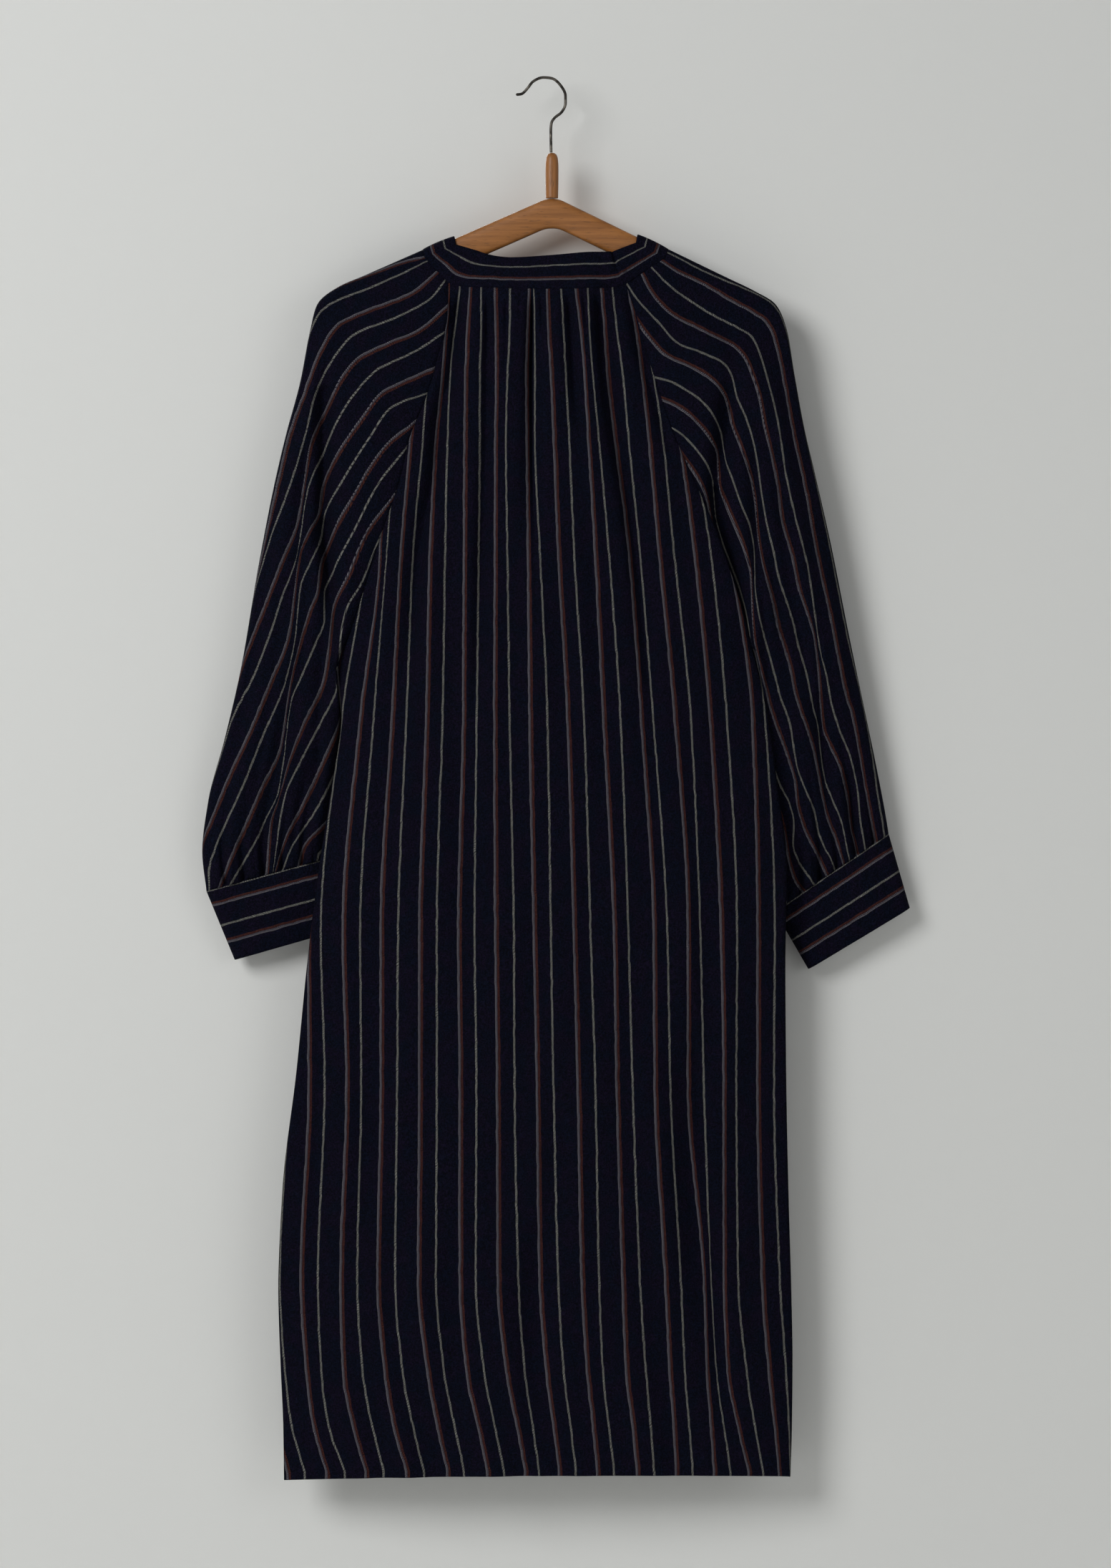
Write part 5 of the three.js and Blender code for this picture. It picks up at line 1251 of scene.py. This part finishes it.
def oiled_wood(name, colour, along):
    """Beech, sanded and oiled: long fine grain along x (0) or z (2), short dark pores and
    a soft gloss."""
    material, tree = new_material(name)
    if tree is None:
        return material
    place = add_node(tree, "ShaderNodeTexCoord").node.outputs["Object"]
    stretched = add_node(tree, "ShaderNodeMapping", {
        "Vector": place, "Scale": tuple(1 / (size * MM) for size in turned(GRAIN_SIZE, along))})
    grain = add_node(tree, "ShaderNodeTexNoise", {
        "Vector": stretched, "Scale": 1.0, "Detail": 5.0, "Roughness": 0.6,
        "Distortion": 0.35})
    pores = add_node(tree, "ShaderNodeMapping", {
        "Vector": place, "Scale": tuple(1 / (size * MM) for size in turned(PORE_SIZE, along))})
    pores = add_node(tree, "ShaderNodeTexNoise", {
        "Vector": pores, "Scale": 1.0, "Detail": 2.0})
    pores = add_node(tree, "ShaderNodeMapRange", {
        "Value": pores, "From Min": 0.60, "From Max": 0.72})
    shade = add_node(tree, "ShaderNodeMapRange", {
        "Value": grain, "From Min": 0.32, "From Max": 0.7})
    base = add_node(tree, "ShaderNodeMix", {
        "Factor": shade, "A": tuple(colour) + (1.0,), "B": to_linear(WOOD_LATE)},
        data_type="RGBA")
    faint = add_node(tree, "ShaderNodeMath", {0: pores, 1: 0.5}, operation="MULTIPLY")
    base = add_node(tree, "ShaderNodeMix", {
        "Factor": faint, "A": base, "B": to_linear(WOOD_PORE)}, data_type="RGBA")
    rough = add_node(tree, "ShaderNodeMapRange", {
        "Value": grain, "To Min": 0.36, "To Max": 0.52})
    dents = add_node(tree, "ShaderNodeMath", {0: shade, 1: pores}, operation="SUBTRACT")
    finish_material(tree, {"Base Color": base, "Roughness": rough,
                           "Specular IOR Level": 0.45}, (dents, 0.00008))
    return material


def blackened_wire(colour):
    """Drawn steel wire, oxidised nearly black, with brighter rubbed places."""
    material, tree = new_material("blackened_steel_wire")
    if tree is None:
        return material
    place = add_node(tree, "ShaderNodeTexCoord").node.outputs["Object"]
    rub = add_node(tree, "ShaderNodeTexNoise", {
        "Vector": place, "Scale": 1 / (7 * MM), "Detail": 4.0})
    rub = add_node(tree, "ShaderNodeMapRange", {
        "Value": rub, "From Min": 0.42, "From Max": 0.68})
    base = add_node(tree, "ShaderNodeMix", {
        "Factor": rub, "A": tuple(colour) + (1.0,), "B": to_linear("#6f6a62")},
        data_type="RGBA")
    rough = add_node(tree, "ShaderNodeMapRange", {"Value": rub, "To Min": 0.5, "To Max": 0.3})
    finish_material(tree, {"Base Color": base, "Metallic": 0.9, "Roughness": rough},
                    (rub, 0.00004))
    return material


def matt_paint(name, colour, one_sided=False):
    """Matt emulsion paint: even, with the faintest roller texture. one_sided leaves the
    back of a wall open to view."""
    material, tree = new_material(name)
    if tree is None:
        return material
    place = add_node(tree, "ShaderNodeTexCoord").node.outputs["Object"]
    roller = add_node(tree, "ShaderNodeTexNoise", {
        "Vector": place, "Scale": 1 / (3 * MM), "Detail": 2.0})
    bump = add_node(tree, "ShaderNodeBump", {
        "Strength": 0.25, "Distance": 0.0002, "Height": roller})
    surface = add_node(tree, "ShaderNodeBsdfPrincipled", {
        "Base Color": tuple(colour) + (1.0,), "Roughness": 0.9, "Specular IOR Level": 0.2,
        "Normal": bump})
    if one_sided:
        behind = add_node(tree, "ShaderNodeNewGeometry").node.outputs["Backfacing"]
        clear = add_node(tree, "ShaderNodeBsdfTransparent")
        surface = add_node(tree, "ShaderNodeMixShader", {0: behind, 1: surface, 2: clear})
    add_node(tree, "ShaderNodeOutputMaterial", {"Surface": surface})
    return material


NAVY_DEEP, NAVY, VIOLET = "#05060c", "#0b0f1e", "#120e1f"
YARN_SIZE = 1.3  # crinkled yarns, drawn twice as coarse as the real 0.6 mm so that they show
CRINKLE_SIZE = 4.2  # puckers that washing leaves in the cloth
CRINKLE_HEIGHT = 3.4  # of the puckers beside the yarns' own relief
DRIFT_SIZE = 16.0  # patches of navy and violet
UNEVEN_SIZE, UNEVEN_SHIFT = 11.0, 1.9  # how the stripes wander: length and sideways way
RAGGED = 0.9  # how far the yarns break up a stripe's edge
STRIPE_SOFT = 0.15  # half of the soft band at that edge
FLECK_DRIFT = 4.0  # flecks by which the twist comes early or late
YARN_RELIEF = 0.0005
# Yarns of the stripes: centre and half width in the repeat, pitch of the flecks along the
# cloth, their slant, share left bare, colour and relief. A fleck is 1 to 2 mm long.
STRIPE_YARNS = [
    (-1.6, 0.5, 1.35, 0.9, 0.14, "#737076", 0.5),
    (-0.5, 0.5, 1.35, -0.9, 0.16, "#605c63", 0.5),
    (1.2, 1.05, 1.5, 0.8, 0.10, "#45261f", 0.4),
    (15.0, 0.95, 2.2, 1.3, 0.07, "#71716c", 1.0),
]
GRAIN_SIZE = (90.0, 3.2, 3.6)
PORE_SIZE = (9.0, 0.9, 0.9)
WOOD_LATE, WOOD_PORE = "#75471a", "#432812"


# ------------------------------------------------------------------ settings
def shown_colour(name, description, hex_colour):
    return bpy.props.FloatVectorProperty(
        name=name, description=description, subtype="COLOR", size=3, min=0.0, max=1.0,
        default=to_linear(hex_colour)[:3])


class DressClothSettings(bpy.types.PropertyGroup):
    """Sizes of the dress's cloth."""
    wall: bpy.props.FloatProperty(
        name="Cloth", description="Thickness of one layer of cloth",
        default=0.8 * MM, min=0.3 * MM, max=1.5 * MM, unit="LENGTH", precision=5)
    band_wall: bpy.props.FloatProperty(
        name="Neckband", description="Thickness of the doubled cloth of neckband and cuffs",
        default=1.4 * MM, min=0.6 * MM, max=1.6 * MM, unit="LENGTH", precision=5)
    repeat: bpy.props.FloatProperty(
        name="Stripe repeat", description="From one double stripe to the next",
        default=35.7 * MM, min=10 * MM, max=120 * MM, unit="LENGTH", precision=4)


class DressHangerSettings(bpy.types.PropertyGroup):
    """Sizes and colours of the hanger."""
    wire_radius: bpy.props.FloatProperty(
        name="Wire radius", description="Half of the hook wire's thickness",
        default=1.3 * MM, min=0.8 * MM, max=1.5 * MM, unit="LENGTH", precision=5)
    wood: shown_colour("Wood", "Colour of the pale wood between its grain", "#94602f")
    wire: shown_colour("Wire", "Colour of the blackened wire", "#2e2b28")


class DressStageSettings(bpy.types.PropertyGroup):
    """Colours and lights of the stage."""
    wall: shown_colour("Wall", "Colour of the wall behind the dress", "#cecfcd")
    floor: shown_colour("Floor", "Colour of the floor", "#d9d9d7")
    key_power: bpy.props.FloatProperty(
        name="Key light", description="Power of the large light at the upper left",
        default=101.0, min=0.0, unit="POWER")
    fill: bpy.props.FloatProperty(
        name="Fill", description="Brightness of the light from all around",
        default=0.29, min=0.0, max=2.0, subtype="FACTOR")


# ------------------------------------------------------------------ operators
def dress_piece(piece, slot, material, *nodes):
    piece.data.materials.append(material)
    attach(piece, "root")
    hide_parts(*nodes)
    return piece


class DRESS_OT_body(bpy.types.Operator):
    """Add the back and the front panel, gathered under the neckband"""
    bl_idname = "dress.body"
    bl_label = "Body panels"

    def execute(self, context):
        sizes = context.scene.dress_cloth
        wall = sizes.wall / MM
        cotton = striped_cotton(sizes)
        back = dress_piece(body_panel("back_body_cloth", "back", 216, wall),
                           "striped_cloth", cotton, "back_body")
        front = dress_piece(body_panel("front_body_cloth", "front", 168, wall),
                            "striped_cloth", cotton, "front_body")
        return {"FINISHED"}


class DRESS_OT_sleeves(bpy.types.Operator):
    """Add the two raglan sleeves, gathered above the cuffs"""
    bl_idname = "dress.sleeves"
    bl_label = "Sleeves"

    def execute(self, context):
        sizes = context.scene.dress_cloth
        cotton = striped_cotton(sizes)
        for name in ("left", "right"):
            piece = dress_piece(sleeve_cloth(name, 158, 118, sizes.wall / MM),
                                "striped_cloth", cotton, "sleeve_" + name)
        return {"FINISHED"}


class DRESS_OT_cuffs(bpy.types.Operator):
    """Add the two deep cuffs"""
    bl_idname = "dress.cuffs"
    bl_label = "Cuffs"

    def execute(self, context):
        sizes = context.scene.dress_cloth
        cotton = striped_cotton(sizes)
        for name in ("left", "right"):
            piece = dress_piece(cuff_cloth(name, 26, 90, sizes.band_wall / MM),
                                "striped_cloth", cotton, "cuff_" + name)
        return {"FINISHED"}


class DRESS_OT_neckband(bpy.types.Operator):
    """Add the narrow band around the neck"""
    bl_idname = "dress.neckband"
    bl_label = "Neckband"

    def execute(self, context):
        sizes = context.scene.dress_cloth
        piece = dress_piece(neckband_cloth(18, 190, 120, sizes.band_wall / MM),
                            "striped_cloth", striped_cotton(sizes), "neckband")
        return {"FINISHED"}


class DRESS_OT_hanger(bpy.types.Operator):
    """Add the wooden bar, its turned stem and the wire hook"""
    bl_idname = "dress.hanger"
    bl_label = "Hanger"

    def execute(self, context):
        look = context.scene.dress_hanger
        dress_piece(hanger_bar_wood(), "hanger_wood",
                    oiled_wood("oiled_beech_bar", look.wood, 0), "hanger_bar")
        dress_piece(hanger_stem_wood(), "hanger_wood",
                    oiled_wood("oiled_beech_stem", look.wood, 2), "hanger_stem")
        dress_piece(hanger_hook_wire(look.wire_radius / MM), "hook_wire",
                    blackened_wire(look.wire), "hanger_hook")
        return {"FINISHED"}


def flat_sheet(name, corners):
    mesh = bpy.data.meshes.new(name)
    mesh.from_pydata(corners, [], [(0, 1, 2, 3)])
    piece = bpy.data.objects.new(name, mesh)
    bpy.context.scene.collection.objects.link(piece)
    return piece


def area_light(name, place, aim, size, power):
    light = bpy.data.lights.new(name, "AREA")
    light.shape = "DISK"
    light.size = size
    light.energy = power
    lamp = bpy.data.objects.new(name, light)
    lamp.location = place
    lamp.rotation_euler = (Vector(aim) - Vector(place)).to_track_quat("-Z", "Y").to_euler()
    bpy.context.scene.collection.objects.link(lamp)


FRAME_CENTRE = (0.0114, -0.01, -0.642)  # what the camera looks straight at
FRAME_HEIGHT = 1.4248  # height of the picture there
CAMERA_DISTANCE = 5.0
WALL_Y = 0.040
FLOOR_Z = -1.75


class DRESS_OT_stage(bpy.types.Operator):
    """Add the pale wall and floor, the soft lights and the camera"""
    bl_idname = "dress.stage"
    bl_label = "Stage"

    def execute(self, context):
        look = context.scene.dress_stage
        scene = context.scene
        wall = flat_sheet("wall", [(-4, WALL_Y, FLOOR_Z), (4, WALL_Y, FLOOR_Z),
                                   (4, WALL_Y, 2.2), (-4, WALL_Y, 2.2)])
        wall.data.materials.append(matt_paint("matt_wall_paint", look.wall, one_sided=True))
        wall.visible_shadow = False
        floor = flat_sheet("floor", [(-5, -6, FLOOR_Z), (5, -6, FLOOR_Z),
                                     (5, 6, FLOOR_Z), (-5, 6, FLOOR_Z)])
        floor.data.materials.append(matt_paint("matt_floor_paint", look.floor))
        aim = (0.0, 0.0, -0.55)
        area_light("key_light", (-2.2, -2.95, 0.85), aim, 1.9, look.key_power)
        area_light("fill_light", (1.9, -2.4, -0.2), aim, 1.8, look.key_power * 0.1)
        area_light("far_side_light", (-0.9, 3.0, 0.9), aim, 1.8, look.key_power * 1.4)
        world = bpy.data.worlds.new("soft_studio")
        world.use_nodes = True
        around = world.node_tree.nodes["Background"]
        around.inputs["Color"].default_value = to_linear("#ebebea")
        around.inputs["Strength"].default_value = look.fill
        scene.world = world
        camera = bpy.data.cameras.new("camera")
        camera.sensor_width = 36.0
        camera.lens = camera.sensor_width * CAMERA_DISTANCE / FRAME_HEIGHT
        camera.clip_end = 50.0
        view = bpy.data.objects.new("camera", camera)
        view.location = (FRAME_CENTRE[0], FRAME_CENTRE[1] - CAMERA_DISTANCE, FRAME_CENTRE[2])
        view.rotation_euler = (math.pi / 2, 0.0, 0.0)
        scene.collection.objects.link(view)
        scene.camera = view
        scene.view_settings.view_transform = "Standard"
        return {"FINISHED"}


class DRESS_PT_panel(bpy.types.Panel):
    """Everything that makes the dress, in order"""
    bl_label = "Striped tunic dress"
    bl_idname = "DRESS_PT_panel"
    bl_space_type = "VIEW_3D"
    bl_region_type = "UI"
    bl_category = "Dress"

    def draw(self, context):
        for group, operators in GROUPS:
            box = self.layout.box()
            settings = getattr(context.scene, group)
            for key in settings.__annotations__:
                box.prop(settings, key)
            for operator in operators:
                box.operator(operator.bl_idname)


GROUPS = [
    ("dress_cloth", [DRESS_OT_neckband, DRESS_OT_body, DRESS_OT_sleeves, DRESS_OT_cuffs]),
    ("dress_hanger", [DRESS_OT_hanger]),
    ("dress_stage", [DRESS_OT_stage]),
]
SETTINGS = {"dress_cloth": DressClothSettings, "dress_hanger": DressHangerSettings,
            "dress_stage": DressStageSettings}
CLASSES = list(SETTINGS.values()) + [o for _, group in GROUPS for o in group] + [DRESS_PT_panel]


def register():
    for entry in CLASSES:
        bpy.utils.register_class(entry)
    for group, settings in SETTINGS.items():
        setattr(bpy.types.Scene, group, bpy.props.PointerProperty(type=settings))


def unregister():
    for group in SETTINGS:
        delattr(bpy.types.Scene, group)
    for entry in reversed(CLASSES):
        bpy.utils.unregister_class(entry)


def main():
    register()
    bpy.ops.dress.stage()
    bpy.ops.dress.hanger()
    bpy.ops.dress.neckband()
    bpy.ops.dress.body()
    bpy.ops.dress.sleeves()
    bpy.ops.dress.cuffs()


if __name__ == "__main__":
    main()
